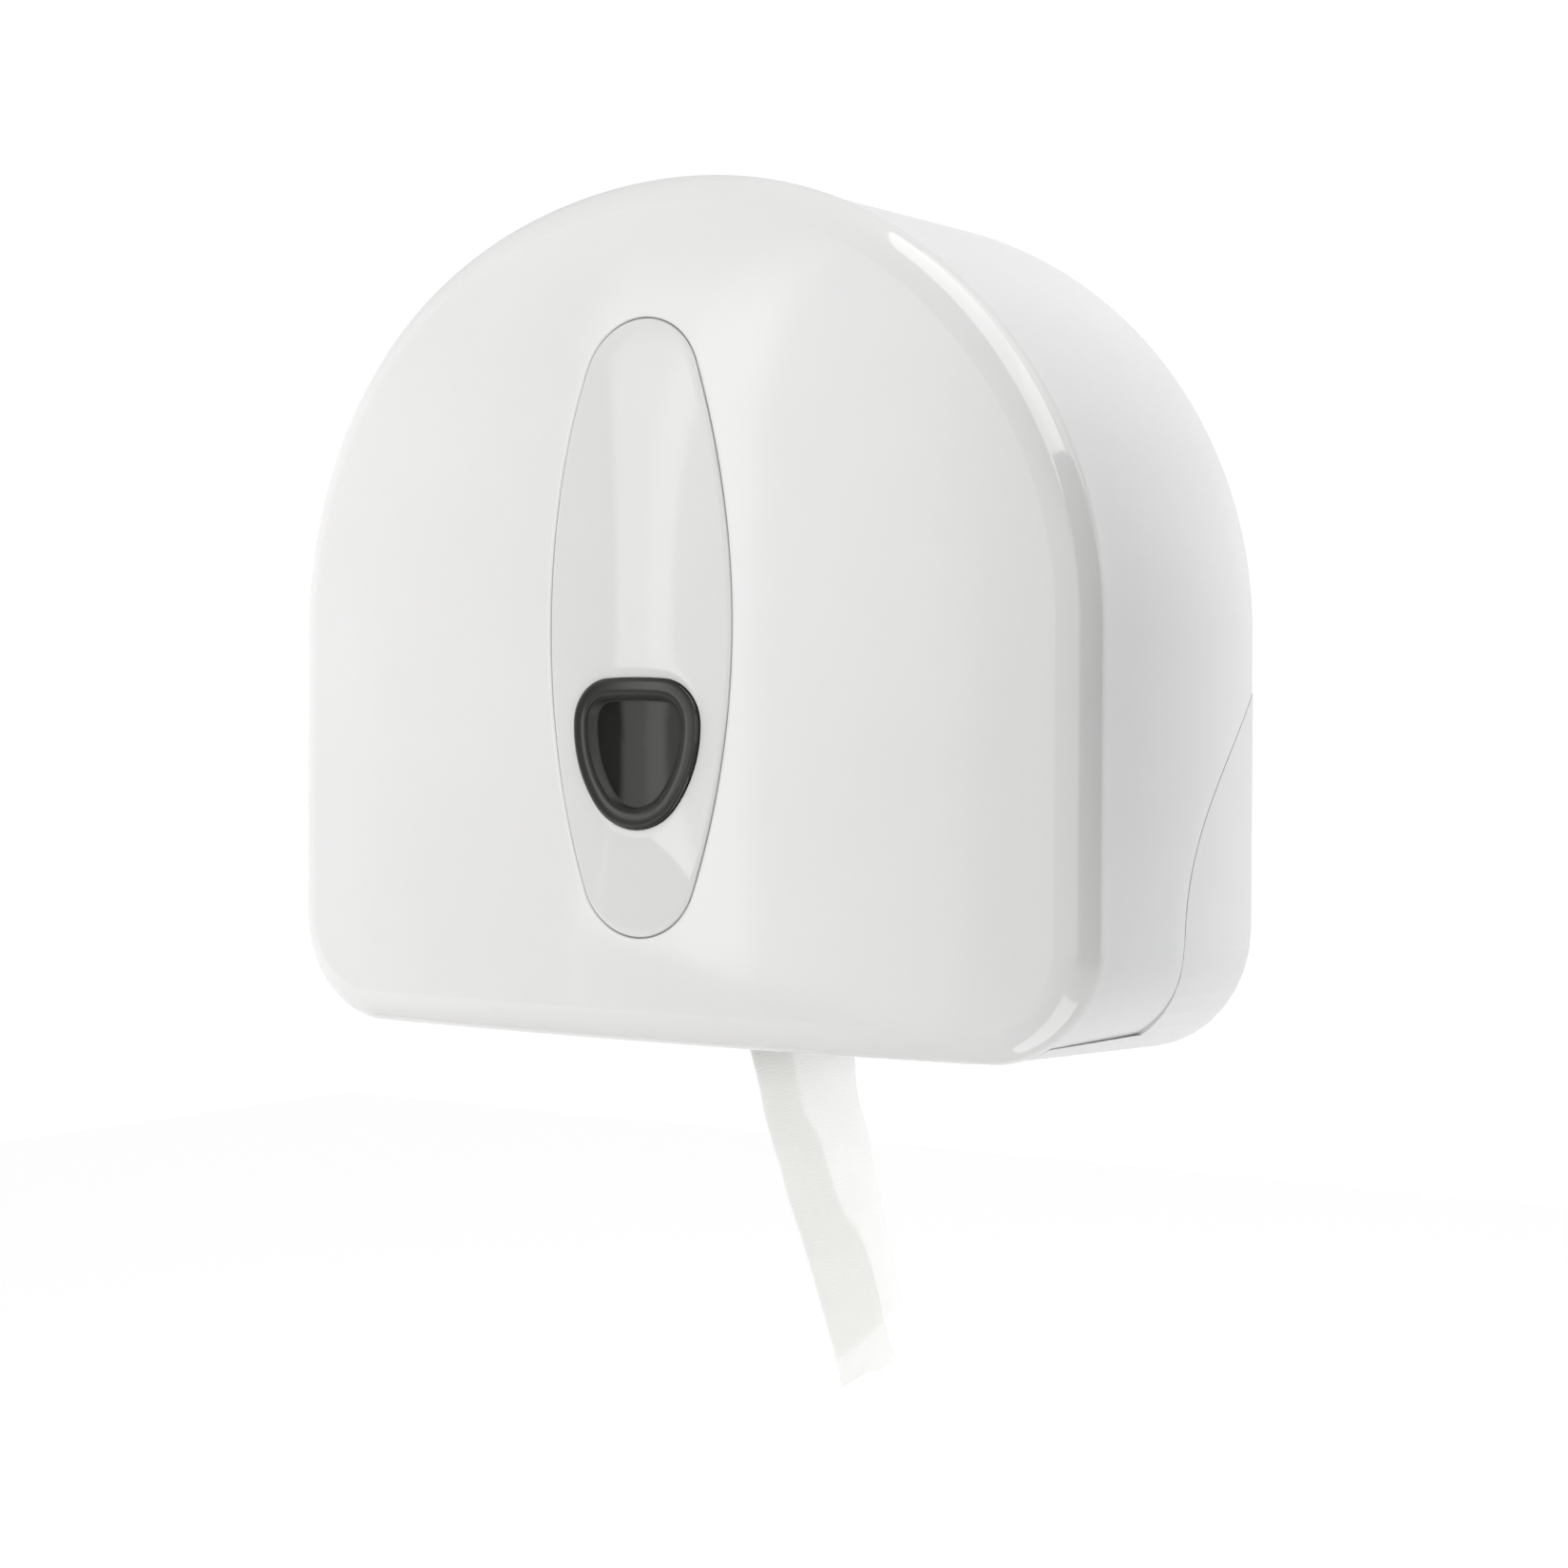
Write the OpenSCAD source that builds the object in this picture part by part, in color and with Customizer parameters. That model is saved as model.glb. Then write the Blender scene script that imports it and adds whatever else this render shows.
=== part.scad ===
// Jumbo toilet roll dispenser: a case that hangs on the wall, with a cover that drops open on two
// pins at its front lower edge, a spindle and hub for one jumbo roll, a cam lock in the crown of
// the arch, and a paper slot in the floor with a toothed tear strip on each side.
// Frame: X to the right, Y into the wall (the wall is Y = 0, the front faces -Y), Z up.
// Origin: centre of the wall screw pattern, on the spindle's axis. "Depth" is the distance from
// the wall, so a depth d lies at Y = -d.

/* [Case] */
// Width of the case
case_w = 360; // [350:1:400]
// Height of the arch above the spindle axis
arch_h = 168; // [164:1:185]
// Distance from the spindle axis down to the underside
sill_h = 152; // [148:1:170]
// Depth from the wall to the cover's rim, at its sides
case_d = 129; // [122:1:140]
// Radius of the two lower corners
corner_r = 43; // [36:1:52]
// Thickness of the moulded walls
wall_t = 2.6; // [2.2:0.1:3.2]
// Thickness of the back wall
back_t = 3; // [2.5:0.1:4]
// Height of the back wall's screw bosses and ribs
rib_h = 2.2; // [1.5:0.1:2.6]

/* [Cover] */
// How far the middle of the front stands proud of its sides
face_crown = 12; // [8:0.5:13]
// How far the rim bows forward at the top of the arch
rim_crown = 0.4; // [0:0.2:3]
// Radius that rounds the rim into the front
rim_r = 12.5; // [11.5:0.5:14]
// Step from the rim down to the side wall
rim_step = 1; // [0.6:0.1:1.4]
// Gap along the parting line between the cover and the base
part_gap = 0.4; // [0.3:0.1:0.8]
// Gap between the cover's wall and the edge of the back wall inside it
fit_gap = 0.8; // [0.5:0.1:1.5]
// Height of the parting line's start at the wall, below the spindle axis
part_top = 22; // [15:1:30]
// Greatest depth of the base's side ears
ear_d = 54; // [45:1:58]
// Depth of the ears' foot, where they meet the base's floor edge
ear_foot_d = 50; // [50:1:54]
// Height of the base's floor edge, where the cover's sides end
ledge_h = 6; // [5.5:0.5:8]
// How far the underside drops from the front to the wall
floor_drop = 5; // [0:0.5:6]

/* [Hinge] */
// Radius of the hinge pins
pin_r = 2.5; // [2:0.1:2.8]
// Radius of the knuckles around the pins
knuckle_r = 4.5; // [4.2:0.1:4.8]
// Distance from the pins to the underside
hinge_h = 7.2; // [7:0.1:7.6]
// Distance from the pins back to the edge of the cover's floor strip
hinge_back = 6.3; // [6:0.1:7]
// Distance from the side of the case in to each hinge arm
arm_in = 49; // [47:1:80]
// Width of each hinge arm
arm_w = 8; // [6:0.5:9]
// Running clearance of a shaft in its bore
run_gap = 0.08; // [0.05:0.01:0.1]

/* [Insert and level window] */
// Half width of the lens-shaped insert
insert_w = 40.8; // [36:0.2:44]
// Half height of the insert
insert_h = 113; // [105:1:118]
// Height of the insert's middle, above the spindle axis
insert_z = 0.6; // [-2:0.2:2]
// Radius of the insert's long sides
insert_side_r = 285; // [270:5:340]
// Thickness of the insert
insert_t = 2.4; // [2:0.1:3]
// How far the insert bulges past the front
insert_bulge = 2; // [1:0.1:2.2]
// Gap around the insert
insert_gap = 0.5; // [0.3:0.1:0.8]
// Thickness of the pan behind the insert
pan_t = 2; // [1.6:0.1:2.6]
// Width of the pan's rim around the insert
pan_rim = 3; // [2:0.2:5]
// Height of the window's middle above the spindle axis
window_z = -45.5; // [-50:0.5:-38]
// How far the window stands proud of the insert
window_proud = 1.8; // [1:0.1:2.2]
// Width of the window's raised frame
window_frame = 7.6; // [6:0.2:9]
// Depth of the window's recess
window_recess = 3.6; // [3:0.1:4]
// Gap between the window and the insert
window_gap = 0.2; // [0.15:0.05:0.4]

/* [Roll and spindle] */
// Diameter of the full roll
roll_d = 260; // [220:1:270]
// Width of the roll
roll_w = 92; // [84:1:94]
// Inside radius of the cardboard core
core_r = 30; // [28:0.5:34]
// Thickness of the cardboard core
core_t = 2; // [1:0.2:3]
// Gap between the hub and the core
core_gap = 0.3; // [0.2:0.1:0.6]
// Radius of the spindle post
post_r = 8; // [7:0.5:9]
// Radius of the spindle plate
plate_r = 40; // [36:1:42]
// Radius of the hub's flange
flange_r = 44; // [43:1:48]

/* [Paper slot] */
// Half width of the slot, across the case
slot_w = 36; // [34:1:44]
// Free space beside the paper at each end of the slot
slot_gap = 2; // [1.5:0.1:2.2]
// Thickness of the steel tear strips
strip_t = 1; // [0.8:0.1:1.5]
// Pitch of the tear strips' teeth
tooth_pitch = 3; // [2.5:0.1:4]
// Height of the teeth
tooth_h = 2.5; // [2:0.1:3]

/* [Lock] */
// Depth of the lock barrel's axis
lock_d = 45; // [42:1:50]
// Radius of the lock barrel
barrel_r = 8; // [7:0.5:8.5]
// Reach of the cam, from the barrel's axis to the outside of its hook
cam_reach = 24; // [23:0.5:26]

/* [Wall mount] */
// Spacing of the wall screw holes, across
mount_w = 210; // [200:1:230]
// Spacing of the wall screw holes, up
mount_h = 130; // [120:1:150]
// Radius of the wall screw holes
mount_r = 2.75; // [2.5:0.25:3.5]

/* [Hidden] */
$fn = 64;

eps = 0.01;
far = 400;             // past every face of the case
white = "whitesmoke";

half_w = case_w / 2;
arm_x = half_w - arm_in;
face_mid = (arch_h - sill_h) / 2;
inner_inset = rim_step + wall_t;
plate_inset = inner_inset + fit_gap;
skirt_d = case_d - rim_r - rim_step;
tray_top = -sill_h + inner_inset;
front_max = case_d + face_crown + insert_bulge + window_proud;

// Hinge: the cover's floor strip swings about the pins, so the tray stops short of its sweep.
hinge_d = skirt_d + hinge_back;
hinge_z = -sill_h + hinge_h;
sweep_r = norm([hinge_back, hinge_h]);
swing_gap = 0.9;
tray_d = hinge_d - sweep_r - swing_gap;
corner_tray_d = skirt_d - 1.7;
corner_flat = half_w - corner_r + 13;

// Depths along the spindle, from the back wall forward.
spindle_plate_t = 3;
boss_r = 15;
boss_t = 2;
washer_t = 1;
hub_back = back_t + spindle_plate_t + boss_t + washer_t + 0.2;
hub_flange_t = 2;
roll_back = hub_back + hub_flange_t + 0.4;
roll_front = roll_back + roll_w;
hub_r = core_r - core_gap;
hub_front = roll_front + 3.4;
post_end = hub_front + 0.4;
cap_t = 3;
cap_r = hub_r - wall_t - 9;
screw_shank_r = 2;
screw_head_r = 3.8;
screw_head_t = 2;
plate_screw_pcd = 60;

// Depths of the paper slot.
slot_back = roll_back - slot_gap;
slot_front = roll_front + slot_gap;
strip_w = 12;
strip_z = tray_top;
strip_screw_x = slot_w + strip_w - 5;

// Heights of the lock, from the crown of the arch down.
crown_z = arch_h - rim_step;
lock_flange_t = 1.7;
lock_flange_r = barrel_r + 5;
lock_tube_r = barrel_r + 2.5;
lock_pad_r = lock_tube_r + 7;
lock_seat_z = crown_z - 0.8;
lock_pad_z = crown_z - wall_t - 2.5;
lock_nut_t = 5.5;
lock_nut_r = lock_tube_r + 4;
housing_end_z = lock_pad_z - lock_nut_t - 3.5;
cam_t = 2;
cam_top_z = housing_end_z - 0.4;
cam_z = cam_top_z - cam_t;
hook_t = 2.5;
hook_drop = 7;
catch_gap = 0.8;
catch_top_z = cam_z - catch_gap;
catch_z = cam_z - hook_drop - catch_gap - 2;
catch_tab_d = lock_d - 18;
catch_w = 24;
catch_screw_x = 11;
catch_screw_z = catch_z - 10;
catch_foot_h = 7;
catch_foot_w = catch_w + 12;
catch_tab_w = 13;

// Outline of the case, drawn on [x, z] and moved inwards by inset; drop lowers its bottom edge
// and widens its lower corners to match.
arch_steps = 36;
corner_steps = 9;
side_steps = 3;
floor_steps = 10;
function corner(side, inset, drop, a) =
    [side * (half_w - corner_r - drop) + (corner_r + drop - inset) * cos(a),
     -sill_h + corner_r + (corner_r + drop - inset) * sin(a)];
function arch(inset, t) =
    let (n = [cos(t) / half_w, sin(t) / arch_h])
    [half_w * cos(t), arch_h * sin(t)] - inset * n / norm(n);
function outline(inset, drop = 0) = concat(
    [for (i = [1 : floor_steps - 1])
        [(half_w - corner_r - drop) * (2 * i / floor_steps - 1), -sill_h - drop + inset]],
    [for (i = [0 : corner_steps]) corner(1, inset, drop, -90 + 90 * i / corner_steps)],
    [for (i = [1 : side_steps - 1])
        [half_w - inset, (corner_r - sill_h) * (1 - i / side_steps)]],
    [for (i = [0 : arch_steps]) arch(inset, 180 * i / arch_steps)],
    [for (i = [1 : side_steps - 1])
        [inset - half_w, (corner_r - sill_h) * i / side_steps]],
    [for (i = [0 : corner_steps]) corner(-1, inset, drop, 180 + 90 * i / corner_steps)]);

// Depth of the crowned front above the point [x, z].
function face(p) =
    let (u = 1 - pow(p[0] / half_w, 2), v = max(0, p[1] - face_mid) / (arch_h - face_mid))
    case_d + u * (face_crown - (face_crown - rim_crown) * pow(v, 4));

// Outline made of circles [x, z, r], joined by arcs that touch each pair of them from outside.
// bulge[i] is the radius of the arc from circle i to the next one, counter-clockwise.
blob_steps = 8;
function heading(v) = atan2(v[1], v[0]);
function arc_centre(a, b, r) =
    let (ra = r - a[2], rb = r - b[2], ab = [b[0] - a[0], b[1] - a[1]], d = norm(ab),
         along = (ra * ra - rb * rb + d * d) / (2 * d), off = sqrt(ra * ra - along * along))
    [a[0], a[1]] + ab / d * along + [-ab[1], ab[0]] / d * off;
function arc_points(c, r, a0, a1) =
    let (sweep = (a1 - a0) - 360 * floor((a1 - a0) / 360))
    [for (i = [0 : blob_steps - 1])
        let (a = a0 + sweep * i / blob_steps)
        c + r * [cos(a), sin(a)]];
function blob(circles, bulge, grow) =
    let (n = len(circles),
         arcs = [for (i = [0 : n - 1]) arc_centre(circles[i], circles[(i + 1) % n], bulge[i])])
    [for (i = [0 : n - 1])
        let (here = [circles[i][0], circles[i][1]], next = circles[(i + 1) % n],
             before = arcs[(i + n - 1) % n],
             a0 = heading(here - before), a1 = heading(here - arcs[i]),
             a2 = heading([next[0], next[1]] - arcs[i]))
        each concat(arc_points(here, circles[i][2] + grow, a0, a1),
                    arc_points(arcs[i], bulge[i] + grow, a1, a2))];

// Lens-shaped outline of the insert: two long arcs and a small one at each end.
insert_end_r = (pow(insert_side_r, 2) - pow(insert_side_r - insert_w, 2) - pow(insert_h, 2))
    / (2 * (insert_side_r - insert_h));
insert_end_z = insert_h - insert_end_r;
function insert_outline(grow) =
    blob([[0, insert_z - insert_end_z, insert_end_r], [0, insert_z + insert_end_z, insert_end_r]],
         [insert_side_r, insert_side_r], grow);

// Shield-shaped outline of the window: two upper corners and a rounded foot.
window_foot_r = 23;
window_corner = [12, 11.3, 16.2];
window_circles = [[0, window_z - 4.4, window_foot_r],
    [window_corner[0], window_z + window_corner[1], window_corner[2]],
    [-window_corner[0], window_z + window_corner[1], window_corner[2]]];
window_side_r = 46.3;
window_top_r = 211;
function window_outline(grow) = blob(window_circles, [window_side_r, window_top_r, window_side_r], grow);

// Parting line between the cover and the base's side ears, as [depth, z], moved outwards by gap.
ear_top_z = -sill_h + corner_r - 3;
part_upper = [[0, -part_top], [0.375 * ear_d, -part_top - 28], [ear_d, -part_top - 51], [ear_d, ear_top_z]];
part_lower = [[ear_d, ear_top_z], [ear_d, ear_top_z - 10], [ear_foot_d, ear_top_z - 16],
    [ear_foot_d, -sill_h + ledge_h]];
part_steps = 12;
foot_steps = 8;
function part_point(c, t, gap) =
    let (s = 1 - t,
         p = s * s * s * c[0] + 3 * s * s * t * c[1] + 3 * s * t * t * c[2] + t * t * t * c[3],
         v = s * s * (c[1] - c[0]) + 2 * s * t * (c[2] - c[1]) + t * t * (c[3] - c[2]))
    p + gap * [-v[1], v[0]] / norm(v);
// Side view of everything that belongs to the base, grown by gap.
function base_side(front, gap) = concat(
    [[-far, -far], [front, -far], [front, -sill_h + ledge_h + gap],
        [ear_foot_d + gap, -sill_h + ledge_h + gap]],
    [for (i = [1 : foot_steps - 1]) part_point(part_lower, 1 - i / foot_steps, gap)],
    [for (i = [0 : part_steps]) part_point(part_upper, 1 - i / part_steps, gap)],
    [[-far, -part_top + gap]]);

// Solids placed by depth from the wall.
module block(x, d, z) {
    translate([x[0], -d[1], z[0]]) cube([x[1] - x[0], d[1] - d[0], z[1] - z[0]]);
}
module slab(points, d) {
    translate([0, -d[0], 0]) rotate([90, 0, 0]) linear_extrude(d[1] - d[0]) polygon(points);
}
module rod(p, d, r) {
    translate([p[0], -d[0], p[1]]) rotate([90, 0, 0]) cylinder(h = d[1] - d[0], r = r);
}
module bar(x, d, z, r) {
    translate([x[0], -d, z]) rotate([0, 90, 0]) cylinder(h = x[1] - x[0], r = r);
}
module upright(x, d, z, r, r_top = -1) {
    translate([x, -d, z[0]]) cylinder(h = z[1] - z[0], r1 = r, r2 = r_top < 0 ? r : r_top);
}
module across(points) {
    translate([-far, 0, 0]) rotate([90, 0, 90]) linear_extrude(2 * far)
        polygon([for (p = points) [-p[0], p[1]]]);
}
module both_sides() {
    children();
    mirror([1, 0, 0]) children();
}

// Closed solid through rings of [x, y, z] that all have the same number of points, from the flat
// rear one forward. The point back closes the rear, and the point tip closes the front.
module lofted(rings, back, tip) {
    n = len(rings[0]);
    m = len(rings);
    sides = [for (k = [0 : m - 2], i = [0 : n - 1])
        let (a = k * n + i, b = k * n + (i + 1) % n)
        each [[a, b + n, b], [a, a + n, b + n]]];
    rear = [for (i = [0 : n - 1]) [i, (i + 1) % n, m * n]];
    front = [for (i = [0 : n - 1]) [(m - 1) * n + (i + 1) % n, (m - 1) * n + i, m * n + 1]];
    polyhedron(points = concat([for (r = rings) each r], [back, tip]), faces = concat(sides, rear, front));
}

// Solid between two sheets over a rectangle: the front one bulges past the crowned front.
slab_nx = 10;
slab_nz = 16;
module crowned(half, front, bulge, back) {
    nx = slab_nx + 1;
    nz = slab_nz + 1;
    grid = [for (k = [0 : slab_nz], i = [0 : slab_nx])
        [half[0] * (2 * i / slab_nx - 1), half[1] * (2 * k / slab_nz - 1)]];
    function swell(p) = bulge * (1 - pow(p[0] / insert_w, 2)) * (1 - pow((p[1] - insert_z) / insert_h, 2));
    near = [for (p = grid) [p[0], -face(p) - front - swell(p), p[1]]];
    rear = [for (p = grid) [p[0], -face(p) + back, p[1]]];
    o = nx * nz;
    cells = [for (k = [0 : slab_nz - 1], i = [0 : slab_nx - 1]) k * nx + i];
    faces = concat(
        [for (c = cells) each [[c, c + nx, c + nx + 1], [c, c + nx + 1, c + 1]]],
        [for (c = cells) each [[o + c, o + c + nx + 1, o + c + nx], [o + c, o + c + 1, o + c + nx + 1]]],
        [for (i = [0 : slab_nx - 1], k = [0, slab_nz])
            let (a = k * nx + i, b = a + 1)
            k == 0 ? [a, b, o + b, o + a] : [b, a, o + a, o + b]],
        [for (k = [0 : slab_nz - 1], i = [0, slab_nx])
            let (a = k * nx + i, b = a + nx)
            i == 0 ? [b, a, o + a, o + b] : [a, b, o + b, o + a]]);
    polyhedron(points = concat(near, rear), faces = faces);
}

// Base: back wall, lower side ears and the floor tray with the paper slot.
module mount_holes() {
    for (x = [-1, 1], z = [-1, 1])
        rod([x * mount_w / 2, z * mount_h / 2], [-1, far], mount_r);
}
module plate_screw_places() {
    for (a = [45 : 90 : 315])
        translate([plate_screw_pcd / 2 * cos(a), 0, plate_screw_pcd / 2 * sin(a)]) children();
}
module catch_screw_places() {
    for (x = [-catch_screw_x, catch_screw_x])
        translate([x, 0, catch_screw_z]) children();
}
module strip_screw_places(side) {
    for (d = [slot_back + 12, slot_front - 12])
        translate([side * strip_screw_x, -d, 0]) children();
}
screw_tip_d = 0.8;
screw_tip_z = tray_top - wall_t + 0.6;
// Outer shape of the base: its underside drops and its corners widen towards the wall.
module base_body() {
    rings = [[for (p = outline(rim_step, floor_drop)) [p[0], 0, p[1]]],
        [for (p = outline(rim_step, rim_step - 0.2)) [p[0], -corner_tray_d, p[1]]]];
    lofted(rings, [0, 0, face_mid], [0, -corner_tray_d, face_mid]);
}
module base_shell() {
    color(white) difference() {
        union() {
            intersection() {
                difference() {
                    base_body();
                    slab(outline(inner_inset), [back_t, far]);
                }
                across(base_side(corner_tray_d, 0));
            }
            slab(outline(plate_inset), [0, back_t]);
            back_ribs();
            both_sides() hinge_arm();
        }
        block([-corner_flat, corner_flat], [tray_d, far / 2], [-far, tray_top + eps]);
        block([-slot_w, slot_w], [slot_back, slot_front], [-far, tray_top + 5]);
        mount_holes();
        plate_screw_places() rod([0, 0], [screw_tip_d, far], screw_shank_r);
        catch_screw_places() rod([0, 0], [screw_tip_d, far], screw_shank_r);
        for (side = [-1, 1])
            strip_screw_places(side) upright(0, 0, [screw_tip_z, tray_top + 1], screw_shank_r - 0.5);
        both_sides() bar([arm_x - 1, arm_x + arm_w + 1], hinge_d, hinge_z, pin_r);
    }
}
rib_inset = plate_inset + 2.2;
lip_d = back_t + rib_h;
module back_ribs() {
    intersection() {
        difference() {
            slab(outline(plate_inset), [0, lip_d]);
            slab(outline(rib_inset), [back_t, far]);
        }
        block([-far, far], [-1, far], [-part_top + 8, far]);
    }
    for (x = [-1, 1], z = [-1, 1]) rod([x * mount_w / 2, z * mount_h / 2], [0, back_t + rib_h], 3 * mount_r);
    both_sides() for (z = [-mount_h / 2, mount_h / 2])
        block([plate_r + 6, mount_w / 2], [0, back_t + rib_h], [z - 1, z + 1]);
    both_sides() block([mount_w / 2 - 1, mount_w / 2 + 1], [0, back_t + rib_h], [-mount_h / 2, mount_h / 2]);
}
module hinge_arm() {
    block([arm_x, arm_x + arm_w], [tray_d - 14, hinge_d], [hinge_z - pin_r + 1, hinge_z + knuckle_r]);
    block([arm_x, arm_x + arm_w], [tray_d - 14, tray_d], [tray_top - 1, hinge_z]);
    bar([arm_x, arm_x + arm_w], hinge_d, hinge_z, knuckle_r);
}

// Steel strip with a row of teeth that reach into the slot.
module tear_strip(side) {
    teeth = floor((slot_front - slot_back) / tooth_pitch);
    points = concat(
        [[strip_w + slot_w, slot_back], [strip_w + slot_w, slot_back + teeth * tooth_pitch]],
        [for (i = [teeth : -1 : 1]) each
            [[slot_w - 0.5, slot_back + i * tooth_pitch],
             [slot_w - tooth_h, slot_back + (i - 0.5) * tooth_pitch]]],
        [[slot_w - 0.5, slot_back]]);
    color("silver") difference() {
        translate([0, 0, strip_z]) linear_extrude(strip_t) polygon([for (p = points) [side * p[0], -p[1]]]);
        strip_screw_places(side) upright(0, 0, [-far, far], screw_shank_r - 0.5);
    }
}
module tear_strip_left() { tear_strip(-1); }
module tear_strip_right() { tear_strip(1); }
module tear_strip_screws() {
    color("gray") for (side = [-1, 1]) strip_screw_places(side) {
        upright(0, 0, [screw_tip_z, strip_z + strip_t + eps], screw_shank_r - 0.5);
        upright(0, 0, [strip_z + strip_t, strip_z + strip_t + 1.2], 3, 2.2);
    }
}

// Pins pressed into the base's arms; the cover's knuckles turn on them.
inner_lug = [arm_x - 0.5 - 9, arm_x - 0.5];
outer_lug = [arm_x + arm_w + 0.5, arm_x + arm_w + 7];
module hinge_pin(side) {
    color("silver") mirror([side < 0 ? 1 : 0, 0, 0]) {
        bar([inner_lug[0] - 0.4, outer_lug[1] - 1.5], hinge_d, hinge_z, pin_r);
        bar([inner_lug[0] - 1.6, inner_lug[0] - 0.4], hinge_d, hinge_z, pin_r + 0.2);
    }
}
module hinge_pin_left() { hinge_pin(-1); }
module hinge_pin_right() { hinge_pin(1); }

// Spindle: a screwed plate with a post that carries the hub.
module spindle_plate() {
    color(white) difference() {
        union() {
            rod([0, 0], [back_t, back_t + spindle_plate_t], plate_r);
            rod([0, 0], [back_t, back_t + spindle_plate_t + boss_t], boss_r);
        }
        rod([0, 0], [0, far], post_r);
        plate_screw_places() rod([0, 0], [0, far], screw_shank_r);
    }
}
module flat_screw(d, r_head) {
    rod([0, 0], [screw_tip_d, d + eps], screw_shank_r);
    rod([0, 0], [d, d + screw_head_t], r_head);
}
module spindle_plate_screws() {
    color("silver") plate_screw_places() flat_screw(back_t + spindle_plate_t, screw_head_r);
}
module spindle_post() {
    color("silver") difference() {
        rod([0, 0], [back_t, post_end], post_r);
        rod([0, 0], [post_end - 18, far], screw_shank_r);
    }
}
module spindle_washer() {
    color("dimgray") difference() {
        rod([0, 0], [hub_back - 0.2 - washer_t, hub_back - 0.2], boss_r - 1);
        rod([0, 0], [0, far], post_r + run_gap);
    }
}

// Hub that turns on the post and holds the core.
hub_tube_r = post_r + 3.5;
module core_hub() {
    color("gainsboro") {
        difference() {
            union() {
                rod([0, 0], [hub_back, hub_back + hub_flange_t], flange_r);
                rod([0, 0], [hub_back, hub_front], hub_r);
            }
            difference() {
                rod([0, 0], [hub_back + hub_flange_t, far], hub_r - wall_t);
                rod([0, 0], [0, far], hub_tube_r);
                for (a = [0 : 60 : 300]) rotate([0, a, 0]) block([0, hub_r], [0, hub_front - 6], [-1, 1]);
            }
            rod([0, 0], [-1, far], post_r + run_gap);
        }
        for (a = [30 : 120 : 270]) rotate([0, a, 0])
            translate([hub_r - 0.3, -roll_front - 0.3 - nub_r, 0]) sphere(r = nub_r);
    }
}
nub_r = 1.5;
module ring(d, r_in, r_out) {
    difference() {
        rod([0, 0], d, r_out);
        rod([0, 0], [d[0] - 1, d[1] + 1], r_in);
    }
}
module core_tube() { color("burlywood") ring([roll_back, roll_front], core_r, core_r + core_t); }
module paper_roll() { color("white") ring([roll_back, roll_front], core_r + core_t, roll_d / 2); }
module hub_cap() {
    color("gainsboro") ring([post_end, post_end + cap_t], screw_shank_r, cap_r);
}
module hub_cap_screw() {
    color("silver") {
        rod([0, 0], [post_end - 16, post_end + cap_t + eps], screw_shank_r);
        rod([0, 0], [post_end + cap_t, post_end + cap_t + 2.5], 2 * screw_shank_r);
    }
}

// End of the paper: it leaves the roll below, crosses the slot and hangs free. Each stop of its
// route is [x, z, depth of its middle, turn about the vertical], and it is cut to the roll's width.
tail_t = 0.5;
tail_mid = (roll_back + roll_front) / 2;
tail_leave = 16;
tail_start = (roll_d / 2 + 0.8) * [-sin(tail_leave), -cos(tail_leave)];
tail_route = [
    [tail_start[0], tail_start[1], tail_mid, 0], [-15, -131.5, tail_mid, -1], [2, -135.5, tail_mid, -3],
    [12.5, -140.5, tail_mid, -5], [17, -147, tail_mid, -6.5], [18.5, -155, tail_mid, -7.5],
    [20, -167, tail_mid - 0.5, -9.5], [22, -182, tail_mid - 1.5, -10.7], [26.5, -198, tail_mid - 3, -11],
    [29.5, -212, tail_mid - 4.5, -12], [34, -228, tail_mid - 6, -13.3], [38, -244, tail_mid - 7, -14.6],
    [41.5, -260, tail_mid - 8.5, -15.4], [43.5, -272, tail_mid - 9.5, -16.5],
    [44.5, -284, tail_mid - 10, -17.5]];
module paper_tail() {
    n = len(tail_route);
    sections = [for (i = [0 : n - 1])
        let (p = tail_route[i], a = tail_route[max(i - 1, 0)], b = tail_route[min(i + 1, n - 1)],
             slope = heading([b[0] - a[0], b[1] - a[1]]), across = roll_w / 2 * [sin(p[3]), cos(p[3])],
             thick = tail_t / 2 * [-sin(slope), cos(slope)])
        each [for (s = [[-1, -1], [1, -1], [1, 1], [-1, 1]])
            [p[0] + s[0] * across[0] + s[1] * thick[0], -p[2] + s[0] * across[1], p[1] + s[1] * thick[1]]]];
    walls = [for (i = [0 : n - 2], k = [0 : 3])
        let (a = 4 * i + k, b = 4 * i + (k + 1) % 4)
        each [[a, b + 4, b], [a, a + 4, b + 4]]];
    color("white") polyhedron(points = sections,
        faces = concat(walls, [[0, 1, 2, 3], [4 * n - 1, 4 * n - 2, 4 * n - 3, 4 * n - 4]]));
}

// Catch on the back wall: the cam's hook turns in behind its upright tab.
module catch_plate() {
    color("silver") difference() {
        union() {
            block([-catch_foot_w / 2, catch_foot_w / 2], [back_t, back_t + 2],
                [catch_screw_z - catch_foot_h, catch_z + 2]);
            block([-catch_w / 2, catch_w / 2], [back_t, catch_tab_d + 2], [catch_z, catch_z + 2]);
            block([-catch_tab_w / 2, catch_tab_w / 2], [catch_tab_d, catch_tab_d + 2], [catch_z, catch_top_z]);
        }
        catch_screw_places() rod([0, 0], [0, far], screw_shank_r);
    }
}
module catch_screws() {
    color("gray") catch_screw_places() flat_screw(back_t + 2, screw_head_r);
}

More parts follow.
